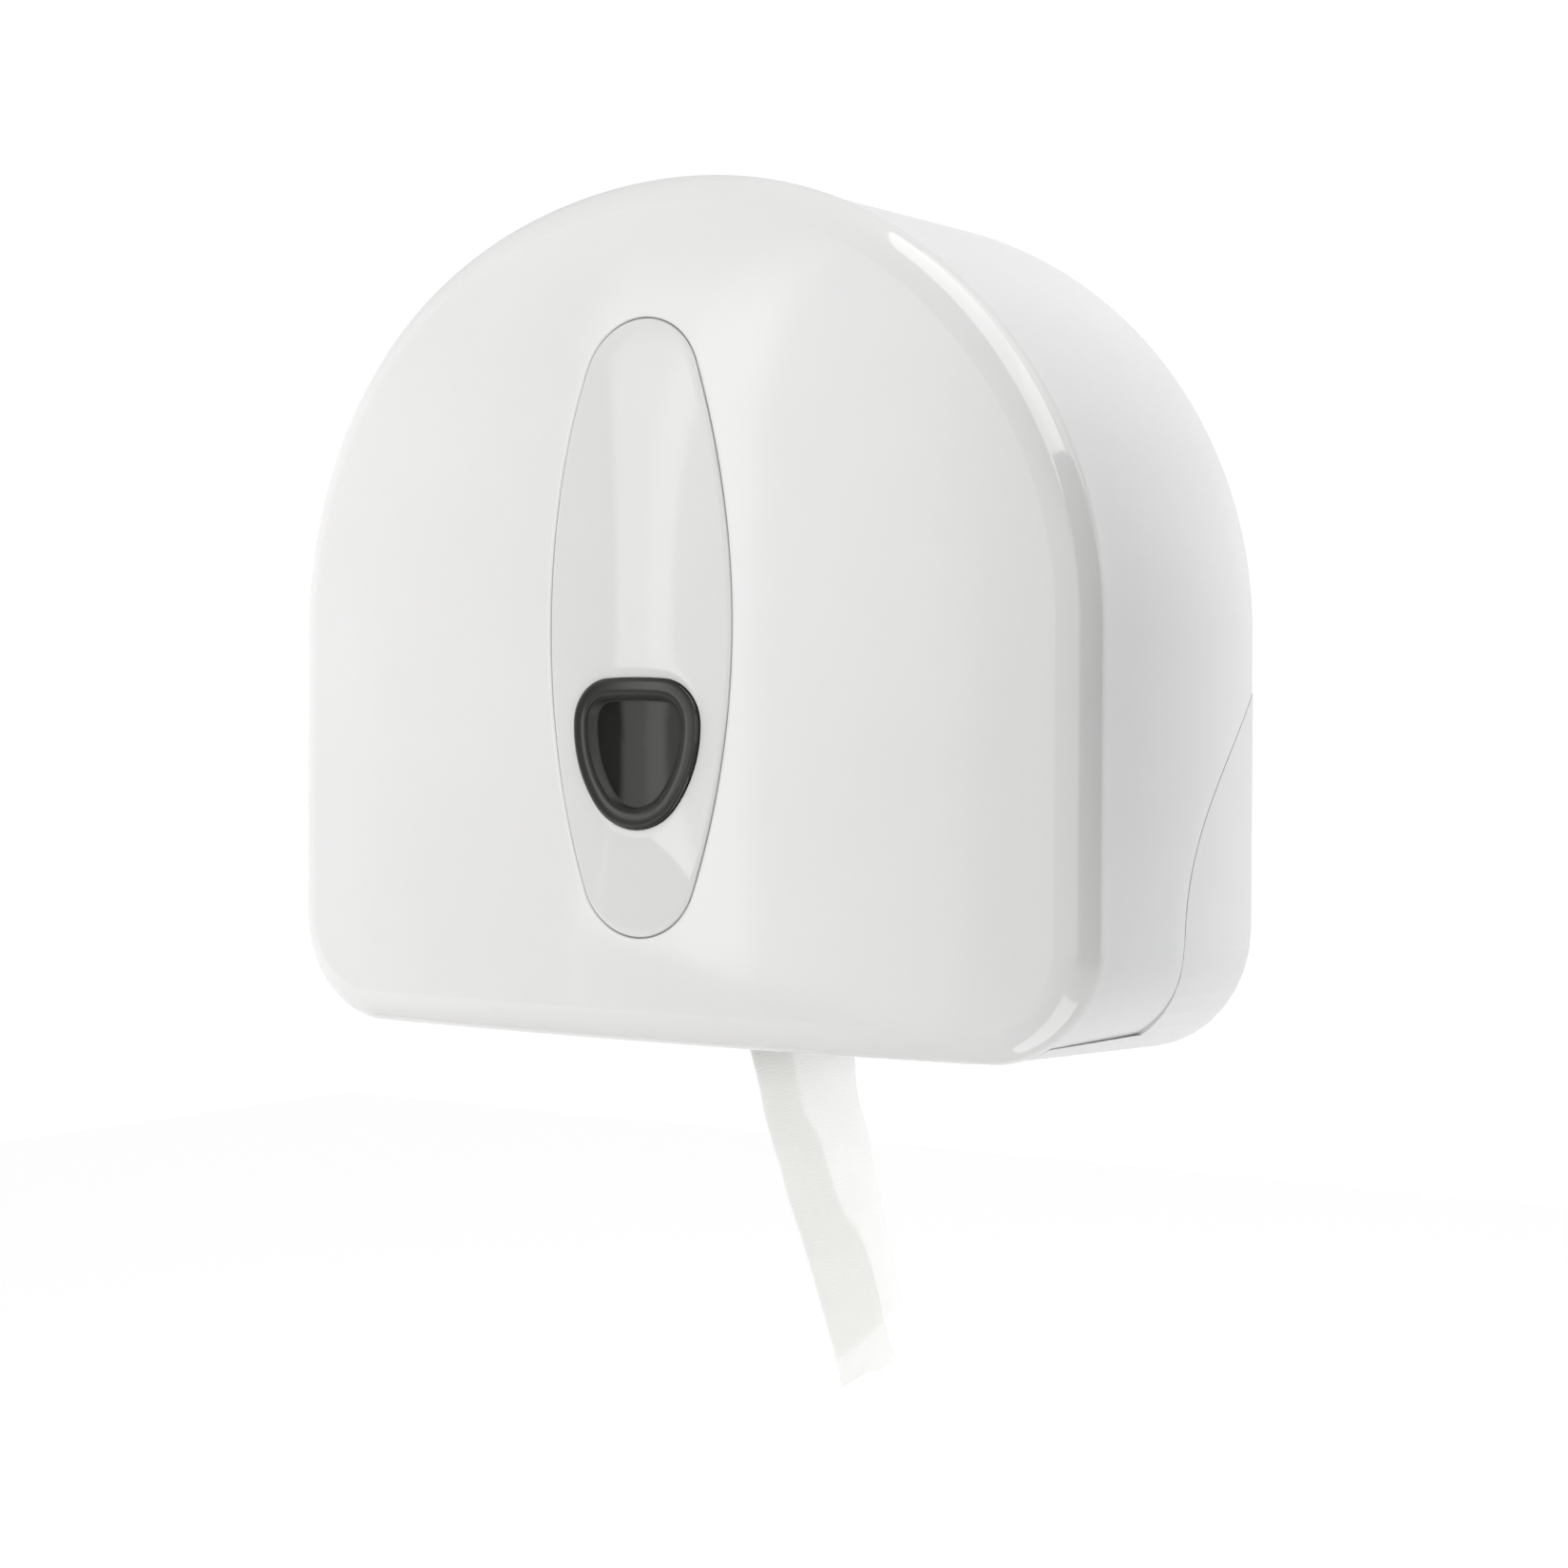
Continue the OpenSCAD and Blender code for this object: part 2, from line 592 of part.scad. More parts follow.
// Front cover: the crowned front, its rounded rim and the side walls, in one moulding.
fillet_steps = 5;
face_rings = [0.88, 0.74, 0.5, 0.25];
face_centre = [0, face_mid];
function toward_middle(s) = [for (p = outline(rim_r)) face_centre + s * (p - face_centre)];
function at_depth(points, offset) = [for (p = points) [p[0], -face(p) + offset, p[1]]];
module cover_body() {
    rings = concat(
        [[for (p = outline(rim_step)) [p[0], -part_gap, p[1]]], at_depth(outline(rim_step), rim_r),
         at_depth(outline(0), rim_r)],
        [for (i = [1 : fillet_steps]) let (a = 90 * i / fillet_steps)
            at_depth(outline(rim_r * (1 - cos(a))), rim_r * (1 - sin(a)))],
        [for (s = face_rings) at_depth(toward_middle(s), 0)]);
    lofted(rings, [0, -part_gap, face_mid], [0, -face(face_centre), face_mid]);
}
module cover_hollow() {
    r = [rim_r - inner_inset, rim_r - wall_t];
    rings = concat(
        [[for (p = outline(inner_inset)) [p[0], 1, p[1]]]],
        [for (i = [0 : fillet_steps - 1]) let (a = 90 * i / (fillet_steps - 1))
            at_depth(outline(rim_r - r[0] * cos(a)), rim_r - r[1] * sin(a))],
        [for (s = face_rings) at_depth(toward_middle(s), wall_t)]);
    lofted(rings, [0, 1, face_mid], [0, -face(face_centre) + wall_t, face_mid]);
}
module lug(x) {
    bar(x, hinge_d, hinge_z, knuckle_r);
    block(x, [hinge_d, far], [-far, hinge_z + knuckle_r]);
}
insert_box = [insert_w + pan_rim + 2, insert_h + pan_rim + 2];
module lens(grow, front, bulge, back) {
    intersection() {
        slab(insert_outline(grow), [case_d - 20, far]);
        crowned(insert_box, front, bulge, back);
    }
}
hook_places = [[-20, 70], [20, 70], [-20, -88], [20, -88]];
module front_cover() {
    color(white) difference() {
        cover_body();
        difference() {
            cover_hollow();
            both_sides() {
                lug(inner_lug);
                lug(outer_lug);
            }
            upright(0, lock_d, [lock_pad_z, far], lock_pad_r);
            lens(insert_gap + pan_rim, -wall_t / 2, 0, insert_t + pan_t);
        }
        across(base_side(skirt_d - part_gap, part_gap));
        lens(insert_gap, 9, 0, insert_t);
        slab(window_outline(-window_frame), [case_d - 20, far]);
        for (p = hook_places)
            block([p[0] - 3.4, p[0] + 3.4], [case_d - 20, far], [p[1] - 1.4, p[1] + 1.4]);
        upright(0, lock_d, [lock_pad_z - 1, far], lock_tube_r);
        upright(0, lock_d, [lock_seat_z, far], lock_flange_r + 0.3);
        both_sides() {
            bar([inner_lug[0] - 1, outer_lug[1] + 1], hinge_d, hinge_z, pin_r + run_gap);
            bar([arm_x - 0.5, arm_x + arm_w + 0.5], hinge_d, hinge_z, knuckle_r + 0.8);
            block([arm_x - 0.5, arm_x + arm_w + 0.5], [skirt_d - 4, hinge_d + 3], [-far, hinge_z]);
        }
    }
}

// Lens-shaped insert that snaps into the cover's pan with four hooks.
module cover_insert() {
    color(white) {
        difference() {
            lens(0, 0, insert_bulge, insert_t);
            slab(window_outline(window_gap), [0, far]);
        }
        for (p = hook_places) insert_hook(p, face(p) - insert_t);
    }
}
module insert_hook(p, d) {
    block([p[0] - 3, p[0] + 3], [d - pan_t - 2.6, d + 0.6], [p[1] - 1, p[1] + 1]);
    block([p[0] - 3, p[0] + 3], [d - pan_t - 2.6, d - pan_t - 0.6], [p[1] - 1, p[1] + 2.4]);
}

// Smoked window for reading the paper level: a raised frame, a groove and a recessed pane.
groove_w = 0.9;
module level_window() {
    color([0.16, 0.16, 0.15, 0.75]) difference() {
        intersection() {
            slab(window_outline(0), [case_d - 20, far]);
            crowned(insert_box, window_proud, insert_bulge, insert_t);
        }
        slab(window_outline(-window_frame - 0.8), [front_max - window_recess - 1.2, far]);
        difference() {
            slab(window_outline(-window_frame + 1.2), [front_max - 2, far]);
            slab(window_outline(-window_frame + 1.2 - groove_w), [0, far]);
        }
    }
}

// Lock: a threaded housing held by a nut, a barrel and a hooked cam.
module lock_housing() {
    color("silver") difference() {
        union() {
            upright(0, lock_d, [housing_end_z, lock_seat_z + eps], lock_tube_r);
            upright(0, lock_d, [lock_seat_z, lock_seat_z + lock_flange_t], lock_flange_r, lock_flange_r - 0.6);
        }
        upright(0, lock_d, [0, far], barrel_r + run_gap);
    }
}
module lock_nut() {
    color("silver") difference() {
        translate([0, -lock_d, lock_pad_z - lock_nut_t]) cylinder(h = lock_nut_t, r = lock_nut_r, $fn = 6);
        upright(0, lock_d, [0, far], lock_tube_r);
    }
}
barrel_top_z = lock_seat_z + lock_flange_t - 0.4;
shank = 3.2;
module lock_barrel() {
    color("dimgray") difference() {
        union() {
            upright(0, lock_d, [cam_top_z, barrel_top_z], barrel_r);
            block([-shank, shank], [lock_d - shank, lock_d + shank], [cam_z, cam_top_z + eps]);
        }
        block([-4, 4], [lock_d - 1, lock_d + 1], [barrel_top_z - 9, far]);
        upright(0, lock_d, [cam_z - 1, cam_z + 6], 1.6);
    }
}
// At rest the cam lies along +X, unlocked; a quarter turn brings its hook behind the catch.
module lock_cam() {
    color("silver") difference() {
        union() {
            upright(0, lock_d, [cam_z, cam_top_z], barrel_r);
            block([0, cam_reach], [lock_d - 5, lock_d + 5], [cam_z, cam_top_z]);
            block([cam_reach - hook_t, cam_reach], [lock_d - 5, lock_d + 5], [cam_z - hook_drop, cam_top_z]);
        }
        block([-shank, shank], [lock_d - shank, lock_d + shank], [0, far]);
    }
}
module cam_screw() {
    color("gray") {
        upright(0, lock_d, [cam_z - eps, cam_z + 5.5], 1.6);
        upright(0, lock_d, [cam_z - 2.5, cam_z], 3.9, 4.6);
    }
}

base_shell();
tear_strip_left();
tear_strip_right();
tear_strip_screws();
hinge_pin_left();
hinge_pin_right();
spindle_plate();
spindle_plate_screws();
spindle_post();
spindle_washer();
core_hub();
core_tube();
paper_roll();
paper_tail();
hub_cap();
hub_cap_screw();
catch_plate();
catch_screws();
front_cover();
cover_insert();
level_window();
lock_housing();
lock_nut();
lock_barrel();
lock_cam();
cam_screw();
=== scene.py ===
"""Jumbo toilet roll dispenser: the dressed model, its camera and its light.

Lengths are in millimetres until a mesh is made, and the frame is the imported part's: X to the
right, the wall at Y = 0, the front towards -Y, Z up. "Depth" is the distance from the wall. An
outline is an array of points [x, z], and a ring is an outline with the depth of its points.
"""

import math

import bmesh
import bpy
import numpy as np
from mathutils import Matrix, Vector


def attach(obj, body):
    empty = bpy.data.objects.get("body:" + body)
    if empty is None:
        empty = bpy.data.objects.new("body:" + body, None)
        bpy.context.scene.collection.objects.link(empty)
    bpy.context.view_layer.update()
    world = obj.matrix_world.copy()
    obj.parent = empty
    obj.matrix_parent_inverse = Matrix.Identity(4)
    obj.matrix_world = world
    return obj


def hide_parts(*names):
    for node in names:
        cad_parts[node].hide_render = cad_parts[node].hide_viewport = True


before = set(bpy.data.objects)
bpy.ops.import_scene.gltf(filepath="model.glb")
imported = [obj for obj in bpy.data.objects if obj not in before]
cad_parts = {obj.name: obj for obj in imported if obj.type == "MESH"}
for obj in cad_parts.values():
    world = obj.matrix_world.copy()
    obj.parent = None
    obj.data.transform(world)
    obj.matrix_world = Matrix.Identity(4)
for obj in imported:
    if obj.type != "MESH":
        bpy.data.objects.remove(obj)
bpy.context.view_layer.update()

MM = 0.001

# The case, with the part's own measures. The front is crowned: its middle stands out most, the top
# of the arch hardly at all. A crease parts it from the rounded rim.
HALF_W = 180.0
ARCH_H = 168.0
SILL_H = 152.0
FACE_MID = (ARCH_H - SILL_H) / 2
CASE_D = 129.0
CORNER_R = 43.0
WALL_T = 2.6
FACE_CROWN = 12.0
RIM_CROWN = 0.4
RIM_R = 12.5
RIM_STEP = 1.0
RIM_CREASE = math.radians(13)
INNER_INSET = RIM_STEP + WALL_T
SKIRT_D = CASE_D - RIM_R - RIM_STEP

# The parting line between cover and base: from the wall down over the ear to the ledge.
PART_GAP = 0.4
LEDGE_GAP = 0.1
PART_TOP = 22.0
EAR_D = 54.0
EAR_FOOT_D = 50.0
LEDGE_H = 6.0

# The hinge: the base's arms and the cover's lugs as [from, to] across, on the right.
HINGE_D = SKIRT_D + 6.3
HINGE_Z = -SILL_H + 7.2
PIN_R = 2.58
KNUCKLE_R = 4.5
ARM = (131.0, 139.0)
INNER_LUG = (121.5, 130.5)
OUTER_LUG = (139.5, 146.0)
ARM_GAP = 0.5
KNUCKLE_GAP = 0.8
WEB_D = 5.5

# The insert, its recess in the cover and its hooks.
INSERT_W = 40.8
INSERT_H = 113.0
INSERT_Z = 0.6
INSERT_SIDE_R = 285.0
INSERT_END_R = ((INSERT_SIDE_R ** 2 - (INSERT_SIDE_R - INSERT_W) ** 2 - INSERT_H ** 2)
                / (2 * (INSERT_SIDE_R - INSERT_H)))
INSERT_END_Z = INSERT_H - INSERT_END_R
INSERT_T = 2.4
INSERT_BULGE = 2.0
INSERT_GAP = 0.5
PAN_T = 2.0
PAN_RIM = 3.0
HOOK_PLACES = ((-20, 70), (20, 70), (-20, -88), (20, -88))
HOOK_HALF_W = 3.0
HOOK_REACH = 2.6
HOOK_ROOT = 0.6
HOOK_TIP_GAP = 0.6
HOOK_TIP_TOP = 2.4

# The window: a round lower end, two round upper corners and the long arcs between them, as
# [x, height above the window's middle, radius].
WINDOW_Z = -45.5
WINDOW_HALF = (28.2, 27.8)
WINDOW_END = (0, -4.4, 23)
WINDOW_CORNER = (12, 11.3, 16.2)
WINDOW_SIDE_R = 46.3
WINDOW_TOP_R = 211
WINDOW_PROUD = 1.8
WINDOW_FRAME = 7.6
WINDOW_GAP = 0.2
PANE_R = 250.0
PANE_DROP = 3.2
PANE_NARROW = 0.94

# The paper roll and its core.
ROLL_R = 130.0
ROLL_BACK = 11.6
ROLL_FRONT = 103.6
CORE_R = 30.0
CORE_T = 2.0

# The lock in the top of the cover.
LOCK_D = 45.0
LOCK_TUBE_R = 10.5
LOCK_FLANGE_R = 13.0
LOCK_FLANGE_GAP = 0.3
LOCK_SEAT_Z = 166.2
LOCK_PAD_Z = 161.9
LOCK_PAD_R = 17.5
LOCK_PAD_T = 3.6


# ---------------------------------------------------------------- outlines

def face_depth(x, z):
    """Depth of the crowned front above the point x, z."""
    u = 1 - (x / HALF_W) ** 2
    v = np.maximum(0, z - FACE_MID) / (ARCH_H - FACE_MID)
    return CASE_D + u * (FACE_CROWN - (FACE_CROWN - RIM_CROWN) * v ** 4)


def depth_on(points):
    """Depth of the crowned front at an outline's points."""
    return face_depth(points[:, 0], points[:, 1])


def case_columns():
    """Points round the case's outline, counter-clockwise, with their inward normals."""
    flat = HALF_W - CORNER_R
    ledge = math.degrees(math.asin((LEDGE_H + LEDGE_GAP - CORNER_R) / (CORNER_R - RIM_STEP)))
    # Two columns close together make the ledge's step upright.
    bend = sorted(set(np.linspace(-90, 0, 31).round(4)) | {ledge, ledge - 0.12})

    def corner(a):
        c, s = math.cos(a), math.sin(a)
        return flat + CORNER_R * c, CORNER_R - SILL_H + CORNER_R * s, -c, -s

    def arch(a):
        c, s = math.cos(a), math.sin(a)
        n = np.array([c / HALF_W, s / ARCH_H])
        n /= np.linalg.norm(n)
        return HALF_W * c, ARCH_H * s, -n[0], -n[1]

    foot = [(x, -SILL_H, 0, 1) for x in np.linspace(-flat, flat, 61)[1:-1]]
    right = [corner(a) for a in np.radians(bend)]
    right += [(HALF_W, z, -1, 0) for z in np.linspace(CORNER_R - SILL_H, 0, 41)[1:-1]]
    top = [arch(a) for a in np.radians(np.linspace(0, 180, 181))]
    left = [(-x, z, -nx, nz) for x, z, nx, nz in right[::-1]]
    columns = np.array(foot + right + top + left)
    return columns[:, :2], columns[:, 2:]


BASE_POINTS, BASE_NORMALS = case_columns()


def outline(inset):
    """The case's outline, moved inward by inset."""
    return BASE_POINTS + inset * BASE_NORMALS


def blob(circles, bulge, grow, steps=40):
    """Outline round circles (x, z, r), moved outward by grow.

    An arc of the radius bulge[i] joins circle i to the next one and touches both from outside.
    """
    n = len(circles)
    centres = []
    for i in range(n):
        a, b, r = np.array(circles[i]), np.array(circles[(i + 1) % n]), bulge[i]
        ra, rb = r - a[2], r - b[2]
        ab = b[:2] - a[:2]
        d = np.linalg.norm(ab)
        along = (ra * ra - rb * rb + d * d) / (2 * d)
        off = math.sqrt(ra * ra - along * along)
        centres.append(a[:2] + ab / d * along + np.array([-ab[1], ab[0]]) / d * off)

    def heading(start, end):
        return math.atan2(*(end - start)[::-1])

    def arc(c, r, a0, a1):
        a = a0 + ((a1 - a0) % (2 * math.pi)) * np.arange(steps) / steps
        return np.c_[c[0] + r * np.cos(a), c[1] + r * np.sin(a)]

    out = []
    for i in range(n):
        here, after = np.array(circles[i][:2]), np.array(circles[(i + 1) % n][:2])
        turn = heading(centres[i], here)
        out.append(arc(here, circles[i][2] + grow, heading(centres[i - 1], here), turn))
        out.append(arc(centres[i], bulge[i] + grow, turn, heading(centres[i], after)))
    return np.concatenate(out)


def angles_round(points, centre, half):
    """Angles of the points round centre, with x and z in units of half."""
    return np.arctan2((points[:, 1] - centre[1]) / half[1], (points[:, 0] - centre[0]) / half[0])


# The angle of each of the case's columns, at which the cover's inner outlines have their points,
# round an oval that lies this far inside the case's outline.
OVAL_INSET = 12.0
COLUMN_ANGLES = angles_round(outline(RIM_R), (0, FACE_MID),
                             (HALF_W - OVAL_INSET, (ARCH_H + SILL_H) / 2 - OVAL_INSET))


def at_angles(points, centre, half, angles):
    """The outline's points at the given angles round centre."""
    a = angles_round(points, centre, half)
    order = np.argsort(a)
    return np.c_[np.interp(angles, a[order], points[order, 0], period=2 * math.pi),
                 np.interp(angles, a[order], points[order, 1], period=2 * math.pi)]


def insert_outline(grow, angles):
    """Outline of the insert, two long arcs between two small round ends, moved outward by grow."""
    ends = [(0, INSERT_Z - INSERT_END_Z, INSERT_END_R), (0, INSERT_Z + INSERT_END_Z, INSERT_END_R)]
    return at_angles(blob(ends, [INSERT_SIDE_R] * 2, grow), (0, 0), (INSERT_W, INSERT_H), angles)


def window_outline(grow, angles):
    """Outline of the window, moved outward by grow."""
    corner_x, corner_z, corner_r = WINDOW_CORNER
    circles = [(WINDOW_END[0], WINDOW_Z + WINDOW_END[1], WINDOW_END[2]),
               (corner_x, WINDOW_Z + corner_z, corner_r), (-corner_x, WINDOW_Z + corner_z, corner_r)]
    points = blob(circles, [WINDOW_SIDE_R, WINDOW_TOP_R, WINDOW_SIDE_R], grow)
    return at_angles(points, (0, WINDOW_Z), WINDOW_HALF, angles)


def bezier(c, t):
    """Points at t on the cubic curve with the four control points c."""
    c = np.array(c, float)
    s = 1 - t
    return s ** 3 * c[0] + 3 * s * s * t * c[1] + 3 * s * t * t * c[2] + t ** 3 * c[3]


def parting_line(gap):
    """The parting line between cover and base, moved forward by gap: its heights and depths."""
    ear_top = -SILL_H + CORNER_R - 3
    upper = [(0, -PART_TOP), (0.375 * EAR_D, -PART_TOP - 28), (EAR_D, -PART_TOP - 51), (EAR_D, ear_top)]
    lower = [(EAR_D, ear_top), (EAR_D, ear_top - 10), (EAR_FOOT_D, ear_top - 16),
             (EAR_FOOT_D, -SILL_H + LEDGE_H)]
    t = np.linspace(0, 1, 60)[:, None]
    line = np.concatenate([bezier(upper, t), bezier(lower, t)[1:]])
    step = np.gradient(line, axis=0)
    step /= np.linalg.norm(step, axis=1)[:, None]
    line = line + gap * np.c_[-step[:, 1], step[:, 0]]
    return line[::-1, 1], line[::-1, 0]


def spread(a, b, steps):
    """Outlines in even steps from outline a to outline b, without a itself."""
    return [a * (1 - s) + b * s for s in np.linspace(0, 1, steps + 1)[1:]]


def on_face(points, drop=0.0):
    """A ring that lies drop behind the crowned front."""
    return points, depth_on(points) - drop


# ---------------------------------------------------------------- meshes

def net(rings):
    """Vertices [x, depth, z] of the rings."""
    return np.concatenate([np.c_[p[:, 0], np.broadcast_to(d, len(p)), p[:, 1]] for p, d in rings])


def ring_faces(m, n, closed=True):
    """Quads of a net of m rings with n points each; closed joins the last ring to the first."""
    i = np.arange(n)
    j = (i + 1) % n
    out = []
    for k in range(m if closed else m - 1):
        a, b = k * n, ((k + 1) % m) * n
        out.append(np.c_[a + i, a + j, b + j, b + i])
    return np.concatenate(out)


def linked_object(name, data):
    """A new object in the scene, from a mesh, a camera or a light."""
    obj = bpy.data.objects.new(name, data)
    bpy.context.scene.collection.objects.link(obj)
    return obj


def mesh_object(name, verts, faces, materials):
    """A closed mesh from vertices in millimetres, [x, depth, z], with its faces turned outward."""
    v = np.asarray(verts, float)
    places = np.c_[v[:, 0], -v[:, 1], v[:, 2]] * MM
    mesh = bpy.data.meshes.new(name)
    mesh.from_pydata(places.tolist(), [], [list(map(int, f)) for f in faces])
    for m in materials:
        mesh.materials.append(m)
    bm = bmesh.new()
    bm.from_mesh(mesh)
    bmesh.ops.recalc_face_normals(bm, faces=bm.faces)
    if bm.calc_volume(signed=True) < 0:
        bmesh.ops.reverse_faces(bm, faces=bm.faces)
    bm.to_mesh(mesh)
    bm.free()
    return linked_object(name, mesh)


def paint_bands(obj, band_slots, n):
    """Gives each band of n faces its material slot."""
    obj.data.polygons.foreach_set("material_index", np.repeat(band_slots, n).astype(np.int32))


def shade(mesh, angle):
    """Smooth shading, with edges sharper than angle left sharp."""
    mesh.polygons.foreach_set("use_smooth", [True] * len(mesh.polygons))
    mesh.set_sharp_from_angle(angle=math.radians(angle))


def finish_piece(obj, body, cad_node, angle):
    """Shades the piece, hangs it under its body's empty and hides the CAD node that it stands for."""
    shade(obj.data, angle)
    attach(obj, body)
    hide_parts(cad_node)


def add_cylinder(bm, centre, axis, radius, length, segments=48):
    """Adds a cylinder: centre [x, depth, z], axis "x" or "z", length both ways together."""
    rot = Matrix.Rotation(math.pi / 2, 4, "Y") if axis == "x" else Matrix.Identity(4)
    place = Matrix.Translation(Vector((centre[0], -centre[1], centre[2])) * MM) @ rot
    bmesh.ops.create_cone(bm, cap_ends=True, segments=segments, radius1=radius * MM,
                          radius2=radius * MM, depth=length * MM, matrix=place)


def add_block(bm, x, d, z):
    """Adds a block, given as [from, to] across, in depth and in height."""
    size = Vector((x[1] - x[0], d[1] - d[0], z[1] - z[0])) * MM
    mid = Vector(((x[0] + x[1]) / 2, -(d[0] + d[1]) / 2, (z[0] + z[1]) / 2)) * MM
    bmesh.ops.create_cube(bm, size=1, matrix=Matrix.Translation(mid) @ Matrix.Diagonal((*size, 1)))


def bake(obj):
    """Applies obj's modifiers to its mesh."""
    deps = bpy.context.evaluated_depsgraph_get()
    mesh = bpy.data.meshes.new_from_object(obj.evaluated_get(deps))
    old = obj.data
    obj.modifiers.clear()
    obj.data = mesh
    bpy.data.meshes.remove(old)


def boolean(obj, operation, build):
    """Cuts from obj, or joins to it, what build adds to a bmesh."""
    bm = bmesh.new()
    build(bm)
    bmesh.ops.recalc_face_normals(bm, faces=bm.faces)
    mesh = bpy.data.meshes.new("tool")
    bm.to_mesh(mesh)
    bm.free()
    tool = linked_object("tool", mesh)
    mod = obj.modifiers.new("bool", "BOOLEAN")
    mod.operation, mod.object, mod.solver = operation, tool, "EXACT"
    bake(obj)
    bpy.data.objects.remove(tool)


# ---------------------------------------------------------------- materials

def new_material(name):
    mat = bpy.data.materials.new(name)
    mat.use_nodes = True
    nt = mat.node_tree
    return mat, nt, nt.nodes["Principled BSDF"]


def node(nt, kind, **values):
    """A new node; each value is one of its properties or else the default of an input."""
    n = nt.nodes.new(kind)
    for key, value in values.items():
        if hasattr(n, key):
            setattr(n, key, value)
        else:
            n.inputs[key].default_value = value
    return n


def object_coord(nt):
    return nt.nodes.new("ShaderNodeTexCoord").outputs["Object"]


def noise(nt, coord, scale, detail, roughness):
    tex = node(nt, "ShaderNodeTexNoise", Scale=scale, Detail=detail, Roughness=roughness)
    nt.links.new(coord, tex.inputs["Vector"])
    return tex.outputs["Fac"]


def bump(nt, height, strength, distance, below=None):
    """The normal bent by height, on top of the bump below."""
    n = node(nt, "ShaderNodeBump", Strength=strength, Distance=distance)
    nt.links.new(height, n.inputs["Height"])
    if below:
        nt.links.new(below, n.inputs["Normal"])
    return n.outputs["Normal"]


def ramp(nt, fac, stops):
    """Colours or grey levels along fac, given as (position, value) stops."""
    r = nt.nodes.new("ShaderNodeValToRGB")
    els = r.color_ramp.elements
    while len(els) < len(stops):
        els.new(0.5)
    for e, (p, c) in zip(els, stops):
        e.position = p
        e.color = (*c, 1) if isinstance(c, tuple) else (c, c, c, 1)
    nt.links.new(fac, r.inputs["Fac"])
    return r.outputs["Color"]


def plastic(name, colour, rough, rough_spread, grain=0.0, wave=0.0, spread=0.012, sss=0.0, shine=0.5):
    """Moulded plastic: slight clouding in colour and gloss, a fine grain and long shallow waves."""
    mat, nt, bsdf = new_material(name)
    coord = object_coord(nt)
    dark = tuple(max(0.0, c - spread) for c in colour)
    light = tuple(min(1.0, c + spread) for c in colour)
    cloud = ramp(nt, noise(nt, coord, 9.0, 3.0, 0.6), [(0.3, dark), (0.7, light)])
    nt.links.new(cloud, bsdf.inputs["Base Color"])
    smear = ramp(nt, noise(nt, coord, 30.0, 5.0, 0.65),
                 [(0.3, rough - rough_spread), (0.75, rough + rough_spread)])
    nt.links.new(smear, bsdf.inputs["Roughness"])
    bsdf.inputs["IOR"].default_value = 1.49
    bsdf.inputs["Specular IOR Level"].default_value = shine
    bsdf.inputs["Subsurface Weight"].default_value = sss
    bsdf.inputs["Subsurface Scale"].default_value = 0.003
    normal = None
    for strength, scale, detail, distance in ((wave, 14.0, 1.0, 0.0006), (grain, 900.0, 2.0, 0.00006)):
        if strength > 0:
            normal = bump(nt, noise(nt, coord, scale, detail, 0.5), strength, distance, normal)
    if normal:
        nt.links.new(normal, bsdf.inputs["Normal"])
    return mat


def metal(name, colour, rough, brushed=(1, 1, 1), strength=0.25):
    """Plated metal, brushed along the axis whose factor is small."""
    mat, nt, bsdf = new_material(name)
    bsdf.inputs["Metallic"].default_value = 1.0
    coord = object_coord(nt)
    mapping = node(nt, "ShaderNodeMapping", Scale=brushed)
    nt.links.new(coord, mapping.inputs["Vector"])
    streak = noise(nt, mapping.outputs["Vector"], 160.0, 4.0, 0.6)
    patch = ramp(nt, noise(nt, coord, 60.0, 3.0, 0.5),
                 [(0.3, tuple(c * 0.9 for c in colour)), (0.75, colour)])
    nt.links.new(patch, bsdf.inputs["Base Color"])
    nt.links.new(ramp(nt, streak, [(0.3, rough - 0.07), (0.8, rough + 0.1)]), bsdf.inputs["Roughness"])
    nt.links.new(bump(nt, streak, strength, 0.00003), bsdf.inputs["Normal"])
    return mat


def paper(name, colour, fibre=700.0, crepe=0.5, layers=False, sheen=0.2, through=0.0):
    """Soft paper: fine fibres, crepe lines or a roll's layers, faint blotches, and light through it."""
    mat, nt, bsdf = new_material(name)
    coord = object_coord(nt)
    blotch = ramp(nt, noise(nt, coord, 45.0, 5.0, 0.7),
                  [(0.3, tuple(c - 0.03 for c in colour)), (0.7, colour)])
    nt.links.new(blotch, bsdf.inputs["Base Color"])
    bsdf.inputs["Roughness"].default_value = 0.95
    bsdf.inputs["Specular IOR Level"].default_value = 0.15
    bsdf.inputs["Sheen Weight"].default_value = sheen
    bsdf.inputs["Sheen Roughness"].default_value = 0.6
    fibres = bump(nt, noise(nt, coord, fibre, 5.0, 0.75), 0.5, 0.0002)
    if layers:
        wave = node(nt, "ShaderNodeTexWave", Scale=160.0, Distortion=1.2, Detail=2.0,
                    wave_type="RINGS", rings_direction="Y")
    else:
        wave = node(nt, "ShaderNodeTexWave", Scale=220.0, Distortion=9.0, Detail=3.0,
                    wave_type="BANDS", bands_direction="Z")
    nt.links.new(coord, wave.inputs["Vector"])
    nt.links.new(bump(nt, wave.outputs["Fac"], crepe, 0.0002, fibres), bsdf.inputs["Normal"])
    if through:
        glow = node(nt, "ShaderNodeBsdfTranslucent", Color=(*colour, 1))
        mix = node(nt, "ShaderNodeMixShader", Fac=through)
        nt.links.new(bsdf.outputs["BSDF"], mix.inputs[1])
        nt.links.new(glow.outputs["BSDF"], mix.inputs[2])
        nt.links.new(mix.outputs["Shader"], nt.nodes["Material Output"].inputs["Surface"])
    return mat


